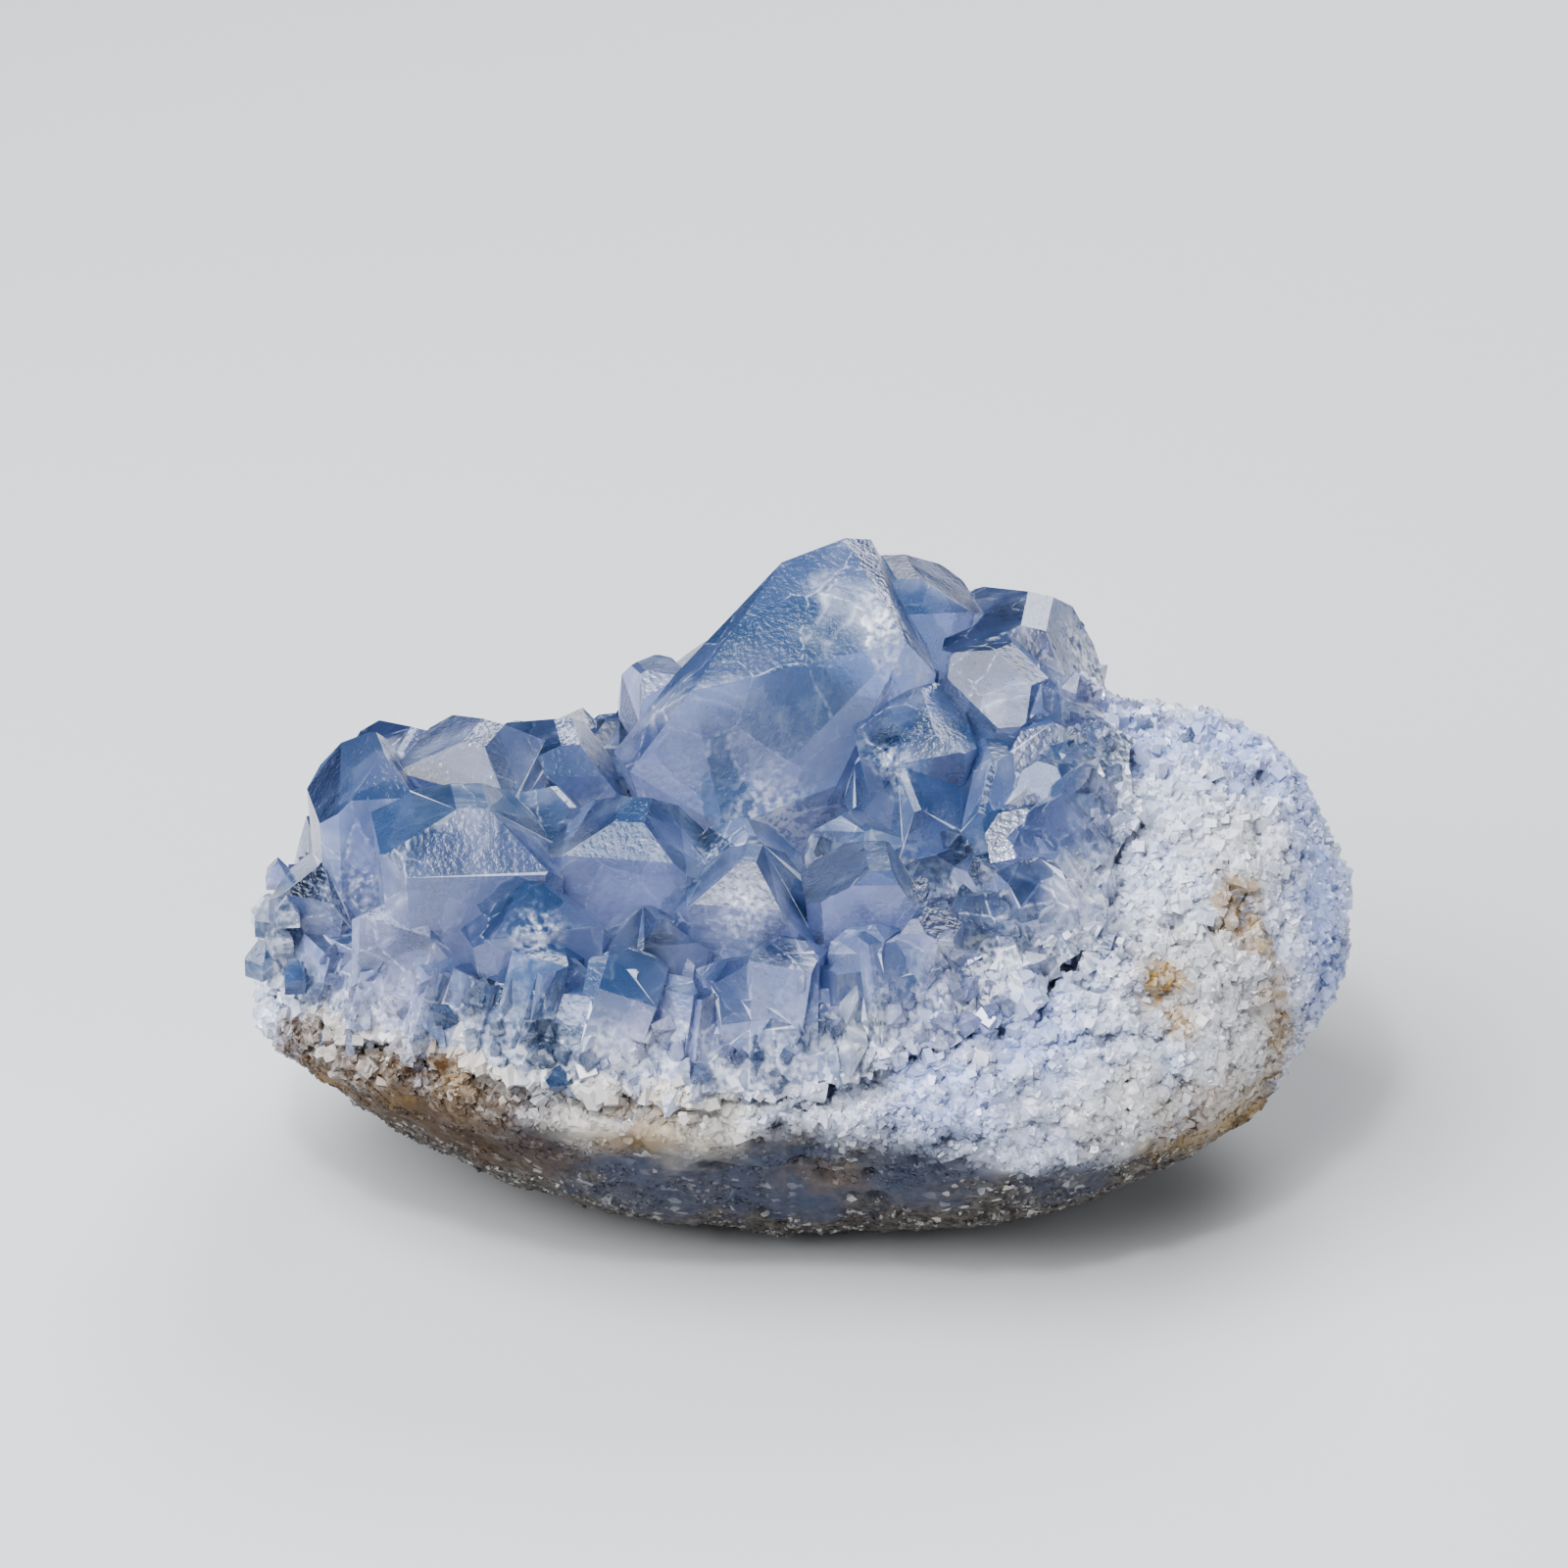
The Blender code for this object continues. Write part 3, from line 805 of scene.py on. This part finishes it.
    def crack(self, nodes: Nodes, bent: Socket, crumbs: Socket, patchy: Socket) -> Socket:
        """Add what the large crystals have: hairlines, hazy faces and frost, and narrow edge faces
        painted pale as painted highlights.

        Args:
            nodes: the material's nodes.
            bent: the coordinates, bent a little.
            crumbs: fine noise.
            patchy: the clouds and feathers.

        Returns:
            A share from 0, clear, to 1 or more, white.
        """
        border = nodes.blocks(bent, self.feather_mm, feature="DISTANCE_TO_EDGE")["Distance"]
        hairline = nodes.ramp(border, 0.03, 0.0, most=0.6)
        some = nodes.ramp(crumbs, 0.38, 0.62)
        patchy = nodes.maths("MULTIPLY_ADD", hairline, some, patchy)
        patchy = nodes.maths("MULTIPLY", patchy, nodes.layer("haze"))
        broken = nodes.ramp(crumbs, 0.38, 0.70)
        for patch in self.frosted:
            frost = self.near(nodes, bent, patch, 1.1)
            patchy = nodes.maths("MULTIPLY_ADD", frost, broken, patchy)
        # Painted highlight: the narrow edge faces are turned milky white.
        return nodes.maths("MULTIPLY_ADD", nodes.layer("wear_and_edge_highlight"), 0.55, patchy)

    @staticmethod
    def near(nodes: Nodes, place: Socket, patch: Patch, most: float) -> Socket:
        """Rise towards the middle of a patch.

        Args:
            nodes: the material's nodes.
            place: the coordinates.
            patch: its middle and its reach, in mm.
            most: the value at its middle, before it is held to 1.

        Returns:
            A share from 0 at its rim to 1.
        """
        middle = tuple(number * MM for number in patch[:3])
        far = nodes.vectors("DISTANCE", place, middle)["Value"]
        return nodes.maths("MINIMUM", nodes.ramp(far, patch[3] * MM, 0.0, most=most), 1.0)


@dataclass(frozen=True)
class StoneFinish:
    """Granular celestine, broken, over a rind weathered by soil.

    The broken grain is white to pale blue and sparkles, because each grain breaks on its own flat
    face. The rind is dull grey-brown, with ochre and rust where iron has washed in.
    """

    name: str = "granular_celestine_with_rind"
    sugar: str = "#dee1ee"
    sugar_blue: str = "#c6cfe8"
    shade: str = "#8f97a9"
    rind: str = "#645e57"
    rind_dark: str = "#282524"
    fleck: str = "#c9c7c2"
    light: str = "#f0f2f7"
    blue: str = "#a3b2de"
    cream: str = "#cfc8ba"
    slate: str = "#3a445c"
    ochre: str = "#96762f"
    rust: str = "#46301a"
    gloss: float = 0.38
    grain_mm: float = 0.7
    pepper_mm: float = 0.9
    cloud_mm: float = 5.0
    bump_mm: float = 0.25
    clear: float = 0.0

    def make(self) -> bpy.types.Material:
        """Build the material.

        Returns:
            The material.
        """
        nodes = Nodes(self.name)
        sugar = nodes.layer("sugar")
        grain = nodes.blocks(nodes.place, self.grain_mm)
        cell = nodes.add("SeparateColor", {"Color": grain["Color"]})["Red"]
        pepper = nodes.noise(self.pepper_mm, 3.0, 0.7)["Fac"]
        speck = nodes.ramp(pepper, 0.38, 0.62)
        spread = nodes.ramp(nodes.noise(self.cloud_mm, 5.0, 0.65)["Fac"], 0.36, 0.64)
        pale = nodes.mix(spread, linear(self.sugar), linear(self.sugar_blue))
        # Painted shadow: fine noise darkens the broken grain to grey-blue for the shadows between
        # the grains.
        pale = nodes.mix(nodes.maths("MULTIPLY", speck, 0.5), pale, linear(self.shade))
        pale = nodes.mix(nodes.layer(Stain.BLUE.value), pale, linear(self.blue))
        dull = nodes.mix(speck, linear(self.rind_dark), linear(self.rind))
        dull = nodes.mix(nodes.ramp(cell, 0.90, 0.95, most=0.7), dull, linear(self.fleck))
        colour = nodes.mix(sugar, dull, pale)
        lit = nodes.ramp(nodes.layer("tone"), most=0.35)
        colour = nodes.mix(lit, colour, linear(self.light))
        for stain, hue, weight in (
            (Stain.CREAM, self.cream, spread),
            (Stain.SLATE, self.slate, spread),
            (Stain.OCHRE, self.ochre, speck),
            (Stain.RUST, self.rust, speck),
        ):
            ragged = nodes.maths("MULTIPLY_ADD", weight, 0.4, 0.6)
            share = nodes.maths("MULTIPLY", ragged, nodes.layer(stain.value))
            colour = nodes.mix(share, colour, linear(hue))
        inputs = {
            "Base Color": colour,
            "Roughness": nodes.ramp(sugar, least=0.85, most=self.gloss),
            "IOR": 1.62,
            "Transmission Weight": self.clear,
        }
        if self.bump_mm:
            height = nodes.maths("MULTIPLY_ADD", pepper, 0.8, grain["Distance"])
            relief = {"Height": height, "Strength": 0.6, "Distance": self.bump_mm * MM}
            inputs["Normal"] = nodes.add("Bump", relief)["Normal"]
        nodes.add("OutputMaterial", {"Surface": nodes.add("BsdfPrincipled", inputs)["BSDF"]})
        return nodes.material


@dataclass
class StoneWall:
    """The granular wall with its rind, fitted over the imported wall."""

    node: str = "stone_wall"
    levels: int = 3
    inset: float = 0.30
    pits: int = 110
    pit_reach: tuple[float, float] = (0.7, 1.7)
    finish: StoneFinish = field(default_factory=StoneFinish)

    def build(self) -> Piece:
        """Model the wall, dress it and tie it to its body.

        Returns:
            The finished wall.
        """
        piece = copy_of_node(self.node, "granular_wall")
        bpy.ops.object.mode_set(mode="EDIT")
        bpy.ops.mesh.select_all(action="SELECT")
        bpy.ops.mesh.tris_convert_to_quads()
        bpy.ops.object.mode_set(mode="OBJECT")
        finer = piece.modifiers.new("finer", "SUBSURF")
        finer.levels = finer.render_levels = self.levels
        apply_modifiers(piece)
        self.break_surface(piece)
        bpy.ops.object.shade_smooth()
        piece.data.materials.append(self.finish.make())
        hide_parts(self.node)
        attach(piece, BODY)
        return piece

    def break_surface(self, piece: Piece) -> None:
        """Give the surface its broken facets, lumps and pits, and its stain attributes.

        Args:
            piece: the wall's fine mesh.
        """
        points = corners_of(piece)
        normals = np.empty(len(points) * 3)
        piece.data.vertices.foreach_get("normal", normals)
        normals = normals.reshape(-1, 3)
        values = stain_values(points)
        sugar = values["sugar"]
        broken = facets(points, size=5.0, tilt=0.20, seed=21)
        broken += facets(points, size=1.9, tilt=0.34, seed=22)
        wear_and_edge_highlight = 0.32 * rough(points, size=2.6, seed=5, octaves=4)
        wear_and_edge_highlight += 0.30 * facets(points, size=3.6, tilt=0.2, seed=24)
        height = sugar * np.clip(broken, -1.3, 0.8) + (1 - sugar) * wear_and_edge_highlight
        height -= self.pit_depth(points)
        under_crust = (outward(points) < 1.0) & (normals[:, 2] > 0.2) & (foot_height(points) < 3)
        height = np.where(under_crust, np.minimum(height, 0.0), height) - self.inset
        flat = ease(0.6, 2.2, points[:, 2])
        points = points + normals * (height * flat)[:, None]
        points[:, 2] = np.maximum(points[:, 2], 0.0)
        piece.data.vertices.foreach_set("co", (points * MM).ravel())
        piece.data.update()
        for name, numbers in values.items():
            set_attribute(piece, name, numbers)
        set_attribute(piece, "tone", np.zeros(len(points)))

    def pit_depth(self, points: np.ndarray) -> np.ndarray:
        """Work out how deep the small pits are.

        Args:
            points: places in mm.

        Returns:
            A depth a point, in mm.
        """
        rng = np.random.default_rng(8)
        middles = points[rng.integers(len(points), size=self.pits)]
        reach = rng.uniform(*self.pit_reach, self.pits)
        depth = np.zeros(len(points))
        for middle, wide in zip(middles, reach):
            far = np.linalg.norm(points - middle, axis=1)
            depth = np.maximum(depth, 0.75 * wide * ease(wide, 0.25 * wide, far))
        return depth


@dataclass
class CrystalCrust:
    """All the blue crystals, grown together, with narrow bevelled edges painted pale as highlights.
    """

    node: str = "crystal_crust"
    edge: float = 0.11
    widest_edge: float = 0.242
    flat_degrees: float = 1.0
    edge_degrees: float = 14.0
    root_reach: float = 8.0
    finish: CelestineFinish = field(
        default_factory=lambda: CelestineFinish(frosted=FROSTED, gaps=PAINTED_SHADE_GAPS)
    )

    def build(self) -> Piece:
        """Model the crust, dress it and tie it to its body.

        Returns:
            The finished crystals.
        """
        piece = copy_of_node(self.node, "celestine_crystals")
        bpy.ops.object.mode_set(mode="EDIT")
        bpy.ops.mesh.select_all(action="SELECT")
        bpy.ops.mesh.dissolve_limited(angle_limit=math.radians(self.flat_degrees))
        bpy.ops.object.mode_set(mode="OBJECT")
        self.paint_facet_shade_and_tone(piece)
        soften = piece.modifiers.new("worn_edges", "BEVEL")
        soften.width = self.edge * MM
        soften.segments = 1
        soften.limit_method = "ANGLE"
        soften.angle_limit = math.radians(self.edge_degrees)
        soften.use_clamp_overlap = True
        apply_modifiers(piece)
        bpy.ops.object.shade_flat()
        self.mark_edges(piece)
        points = corners_of(piece)
        set_attribute(piece, "root", ease(self.root_reach, 0.0, bed_height(points)))
        piece.data.materials.append(self.finish.make())
        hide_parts(self.node)
        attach(piece, BODY)
        return piece

    def mark_edges(self, piece: Piece) -> None:
        """Mark the narrow faces along the edges, which are painted pale as painted highlights.

        Args:
            piece: the crystals, once their edges are bevelled.
        """
        mesh = piece.data
        narrow = []
        for face in mesh.polygons:
            corners = [mesh.vertices[number].co for number in face.vertices]
            longest = max((a - b).length for a, b in zip(corners, corners[1:] + corners[:1]))
            narrow.append(float(face.area / longest < self.widest_edge * MM))
        # Painted highlight: the marked faces are painted pale by the crystal material.
        layer = mesh.attributes.new("wear_and_edge_highlight", "FLOAT", "FACE")
        layer.data.foreach_set("value", narrow)

    @staticmethod
    def paint_facet_shade_and_tone(piece: Piece) -> None:
        """Give each flat face its own look: painted shade by facing, darker steel blue above and
        lavender in front, with a random spread.

        Args:
            piece: the crystals, before their edges are bevelled.
        """
        rng = np.random.default_rng(12)
        faces = piece.data.polygons
        up = np.array([face.normal.z for face in faces])
        chance = rng.random((4, len(faces)))
        for name, values in (
            # Painted shade: upward faces get a high value, which the material paints darker steel
            # blue.
            ("facet", np.clip(0.22 + 0.75 * up + 0.36 * (chance[0] - 0.5), 0, 1)),
            ("clear", np.clip(0.8 * chance[1] + 0.4 * up, 0, 1)),
            ("haze", 0.15 + 0.85 * chance[2] ** 2),
            ("etched", chance[3] ** 2),
        ):
            layer = piece.data.attributes.new(name, "FLOAT", "FACE")
            layer.data.foreach_set("value", values.astype(np.float32))


@dataclass
class SugaryGrains:
    """A share of the grains that stand out of the broken wall, each with its own flat faces."""

    name: str
    seed: int
    count: int = 9800
    grain: float = 0.55
    finish: StoneFinish = field(
        default_factory=lambda: StoneFinish(
            name="broken_celestine_grains", gloss=0.26, grain_mm=0.5, bump_mm=0.0, clear=0.12
        )
    )

    def build(self, base: Piece, on_crust: bool = False) -> Piece:
        """Model the grains on the finished wall, or on the foot of the crystals.

        Args:
            base: the granular wall, or the crystals.
            on_crust: whether the base is the crystals.

        Returns:
            The joined grains.
        """
        rng = np.random.default_rng(self.seed)
        if on_crust:
            skin = Skin.sample(base, self.count * 20, self.seed)
            chance = ease(5.0, -1.0, foot_height(skin.points))
            hidden = (outward(skin.points) < 0.93) | (skin.normals[:, 2] > 0.8)
        else:
            skin = Skin.sample(base, self.count * 3, self.seed)
            chance = 0.6 + 0.4 * ease(-1.5, 1.0, rind_height(skin.points))
            hidden = (outward(skin.points) < 0.88) & (skin.normals[:, 2] > 0.1)
        keep = (rng.random(len(skin)) < chance) & ~hidden & (skin.points[:, 2] > 2)
        skin = skin.only(np.flatnonzero(keep)[: self.count])
        under_foot = -foot_height(skin.points)
        large = self.grain * (1 + 0.35 * ease(6.0, 0.0, under_foot))
        large *= 0.6 + 0.4 * ease(-1.5, 1.5, rind_height(skin.points))
        large *= rng.choice((0.75, 1.0, 1.5), size=len(skin), p=(0.5, 0.4, 0.1))
        sizes = large[:, None] * rng.uniform(0.65, 1.25, (len(skin), 3))
        axes = unit(skin.normals + 0.8 * rng.normal(size=skin.normals.shape))
        places = skin.points - skin.normals * (0.22 * large)[:, None]
        values = stain_values(places)
        values["tone"] = rng.random(len(skin)) ** 3
        models = [ChipModel(Chip.GRAIN, number).model() for number in range(9)]
        piece = join_copies(self.name, models, places, axes, sizes, values, rng)
        material = bpy.data.materials.get(self.finish.name) or self.finish.make()
        piece.data.materials.append(material)
        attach(piece, BODY)
        return piece


@dataclass(frozen=True)
class Band:
    """A band of splinters: how many, how far over the crust's foot, and how long, in mm."""

    count: int
    low: float
    high: float
    short: float
    tall: float


@dataclass
class BrokenEdge:
    """The blades and splinters of crystal along the broken edge, where the crust meets the wall."""

    blades: Band = Band(count=900, low=0.4, high=9.0, short=1.8, tall=4.6)
    splinters: Band = Band(count=1900, low=-2.6, high=6.0, short=0.8, tall=2.2)
    seed: int = 41
    finish: CelestineFinish = field(
        default_factory=lambda: CelestineFinish(
            name="celestine_broken_splinter",
            steel="#93a8cf",
            lavender="#bdc7ea",
            milk="#e2e6ee",
            clearness=(0.8, 0.2),
            roughness=(0.08, 0.4),
            streak_mm=0.3,
            feather_mm=3.0,
            faceted=False,
        )
    )

    def build(self, wall: Piece, crust: Piece) -> Piece:
        """Model the blades and splinters on the wall's top and the crust's foot.

        Args:
            wall: the granular wall.
            crust: the large crystals.

        Returns:
            The joined blades and splinters.
        """
        rng = np.random.default_rng(self.seed)
        skins = [Skin.sample(obj, 120000, self.seed + n) for n, obj in enumerate((wall, crust))]
        places, axes, sizes, roots = [], [], [], []
        for band in (self.blades, self.splinters):
            skin = self.along_edge(skins, band, rng)
            long = rng.uniform(band.short, band.tall, len(skin))
            long *= 1 - 0.45 * ease(0.0, 25.0, skin.points[:, 0] + skin.points[:, 1])
            long *= 0.7 + 0.4 * ease(-3.0, 3.0, foot_height(skin.points))
            wide = long * rng.uniform(0.34, 0.72, len(skin))
            along = np.array((0.0, 0.0, 1.0)) - skin.normals * skin.normals[:, 2:]
            axis = unit(along + 0.45 * skin.normals + 0.36 * rng.normal(size=along.shape))
            places.append(skin.points - skin.normals * (0.2 * wide + 0.1 * long)[:, None])
            axes.append(axis)
            sizes.append(np.stack((wide, wide * rng.uniform(0.5, 1.0, len(skin)), long), axis=1))
            roots.append(
                ease(7.0, -2.0, foot_height(skin.points)) * rng.uniform(0.1, 1.2, len(skin))
            )
        models = [ChipModel(Chip.SPLINTER, number).model() for number in range(9)]
        piece = join_copies(
            "broken_edge",
            models,
            np.concatenate(places),
            np.concatenate(axes),
            np.concatenate(sizes),
            {"root": np.concatenate(roots)},
            rng,
        )
        piece.data.materials.append(self.finish.make())
        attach(piece, BODY)
        return piece

    @staticmethod
    def along_edge(skins: list[Skin], band: Band, rng: np.random.Generator) -> Skin:
        """Choose points on the two surfaces next to the crust's foot.

        Args:
            skins: points on the wall and on the crust.
            band: how many to choose, and from where to where.
            rng: the source of the choice.

        Returns:
            The chosen points.
        """
        chosen = []
        for skin in skins:
            rise = foot_height(skin.points)
            near = ease(band.low, band.low + 2.0, rise) * ease(band.high, band.high - 2.5, rise)
            keep = (rng.random(len(skin)) < near) & (outward(skin.points) > 0.9)
            keep &= (skin.normals[:, 2] > -0.3) & (skin.normals[:, 2] < 0.85)
            chosen.append(skin.only(np.flatnonzero(keep)[: band.count // 2]))
        return Skin(
            np.concatenate([skin.points for skin in chosen]),
            np.concatenate([skin.normals for skin in chosen]),
        )


@dataclass
class SecondGrowth:
    """Small crystals that grew later, in the gaps between the large ones."""

    count: int = 320
    seed: int = 51
    finish: CelestineFinish = field(
        default_factory=lambda: CelestineFinish(
            name="celestine_second_growth",
            clearness=(0.85, 0.3),
            feather_mm=2.5,
            streak_mm=0.3,
            faceted=False,
        )
    )

    def build(self, crust: Piece) -> Piece:
        """Model the small crystals on the crust.

        Args:
            crust: the large crystals.

        Returns:
            The joined small crystals.
        """
        rng = np.random.default_rng(self.seed)
        skin = Skin.sample(crust, 40000, self.seed)
        low = ease(9.0, 2.0, bed_height(skin.points))
        keep = (rng.random(len(skin)) < low) & (skin.normals[:, 2] > 0.0)
        keep &= outward(skin.points) < 1.0
        skin = skin.only(np.flatnonzero(keep)[: self.count])
        wide = rng.uniform(0.7, 1.9, len(skin))
        sizes = np.stack((wide, wide * rng.uniform(0.6, 1.0, len(skin)), wide * 1.9), axis=1)
        upright = np.tile((0.0, 0.0, 1.0), (len(skin), 1))
        axes = unit(skin.normals + 0.5 * upright + 0.35 * rng.normal(size=skin.points.shape))
        places = skin.points + axes * (0.25 * wide)[:, None]
        rim = np.array(RIM)
        places = np.concatenate((places, rim[:, :3]))
        axes = np.concatenate((axes, upright[: len(rim)]))
        sizes = np.concatenate((sizes, rim[:, 3:] * (1.0, 0.8, 1.4)))
        values = {"root": rng.uniform(0.0, 0.6, len(places))}
        models = [ChipModel(Chip.POINT, number).model() for number in range(5)]
        piece = join_copies("second_growth", models, places, axes, sizes, values, rng)
        piece.data.materials.append(self.finish.make())
        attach(piece, BODY)
        return piece


@dataclass
class Studio:
    """A pale floor, soft lights and the camera at the photograph's angle."""

    aim: Vector = field(default_factory=lambda: Vector((-0.001476, 0.00114, 0.0345)))
    elevation: float = 26.0
    distance: float = 0.548
    lens: float = 150.0

    def build(self) -> None:
        """Set up the floor, the lights, the world and the camera."""
        self.add_camera()
        self.add_floor()
        self.add_light("key", (-0.34, -0.24, 0.52), size=0.75, watts=10.0)
        self.add_light("fill", (0.55, -0.45, 0.30), size=0.5, watts=1.7)
        self.add_light("glint", (-0.10, -0.34, 0.56), size=0.07, watts=1.3)
        self.add_light("back", (0.20, 0.50, 0.50), size=0.45, watts=3.8)
        world = bpy.data.worlds.new("soft_room")
        world.use_nodes = True
        bpy.context.scene.world = world
        back = world.node_tree.nodes["Background"]
        back.inputs["Color"].default_value = linear("#dfe6f0")
        back.inputs["Strength"].default_value = 0.09
        bpy.context.scene.view_settings.view_transform = "AgX"
        bpy.context.scene.view_settings.look = "AgX - Medium High Contrast"

    def add_camera(self) -> None:
        """Place the camera so that the frame's middle is the aim."""
        tilt = math.radians(self.elevation)
        forward = Vector((0, math.cos(tilt), -math.sin(tilt)))
        data = bpy.data.cameras.new("camera")
        data.lens = self.lens
        data.sensor_width = 36.0
        camera = bpy.data.objects.new("camera", data)
        camera.location = self.aim - forward * self.distance
        camera.rotation_euler = forward.to_track_quat("-Z", "Y").to_euler()
        bpy.context.scene.collection.objects.link(camera)
        bpy.context.scene.camera = camera

    def add_floor(self) -> None:
        """Lay the pale floor."""
        bpy.ops.object.select_all(action="DESELECT")
        bpy.ops.mesh.primitive_plane_add(size=6.0, location=(0, 0, 0))
        floor = bpy.context.active_object
        floor.name = "floor"
        nodes = Nodes("matt_paper_floor")
        paper = nodes.add("BsdfPrincipled", {"Base Color": linear("#c9cbce"), "Roughness": 0.8})
        nodes.add("OutputMaterial", {"Surface": paper["BSDF"]})
        floor.data.materials.append(nodes.material)

    def add_light(self, name: str, place: tuple[float, ...], size: float, watts: float) -> None:
        """Add a square soft light that faces the piece.

        Args:
            name: the light's name.
            place: where it hangs, in metres.
            size: its side, in metres.
            watts: its power.
        """
        data = bpy.data.lights.new(name, "AREA")
        data.size = size
        data.energy = watts
        light = bpy.data.objects.new(name, data)
        light.location = place
        light.rotation_euler = (self.aim - Vector(place)).to_track_quat("-Z", "Y").to_euler()
        bpy.context.scene.collection.objects.link(light)


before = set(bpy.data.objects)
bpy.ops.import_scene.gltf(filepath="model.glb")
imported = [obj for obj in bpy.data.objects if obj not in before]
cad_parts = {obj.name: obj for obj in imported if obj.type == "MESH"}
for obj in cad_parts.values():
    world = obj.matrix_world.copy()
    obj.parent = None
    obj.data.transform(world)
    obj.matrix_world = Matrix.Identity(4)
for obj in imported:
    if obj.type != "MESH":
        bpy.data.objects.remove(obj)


def main() -> None:
    """Build the pieces in order."""
    logging.basicConfig(level=logging.INFO, format="%(message)s")
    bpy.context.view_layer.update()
    Studio().build()
    wall = StoneWall().build()
    crust = CrystalCrust().build()
    grains = [SugaryGrains(f"sugary_grains_{n}", 30 + n).build(wall) for n in (1, 2, 3)]
    grains.append(SugaryGrains("foot_grains", 35, 2600, 0.7).build(crust, on_crust=True))
    edge = BrokenEdge().build(wall, crust)
    small = SecondGrowth().build(crust)
    for piece in (wall, crust, *grains, edge, small):
        LOG.info("%s: %d triangles", piece.name, len(triangles_of(piece)))


if __name__ == "__main__":
    main()
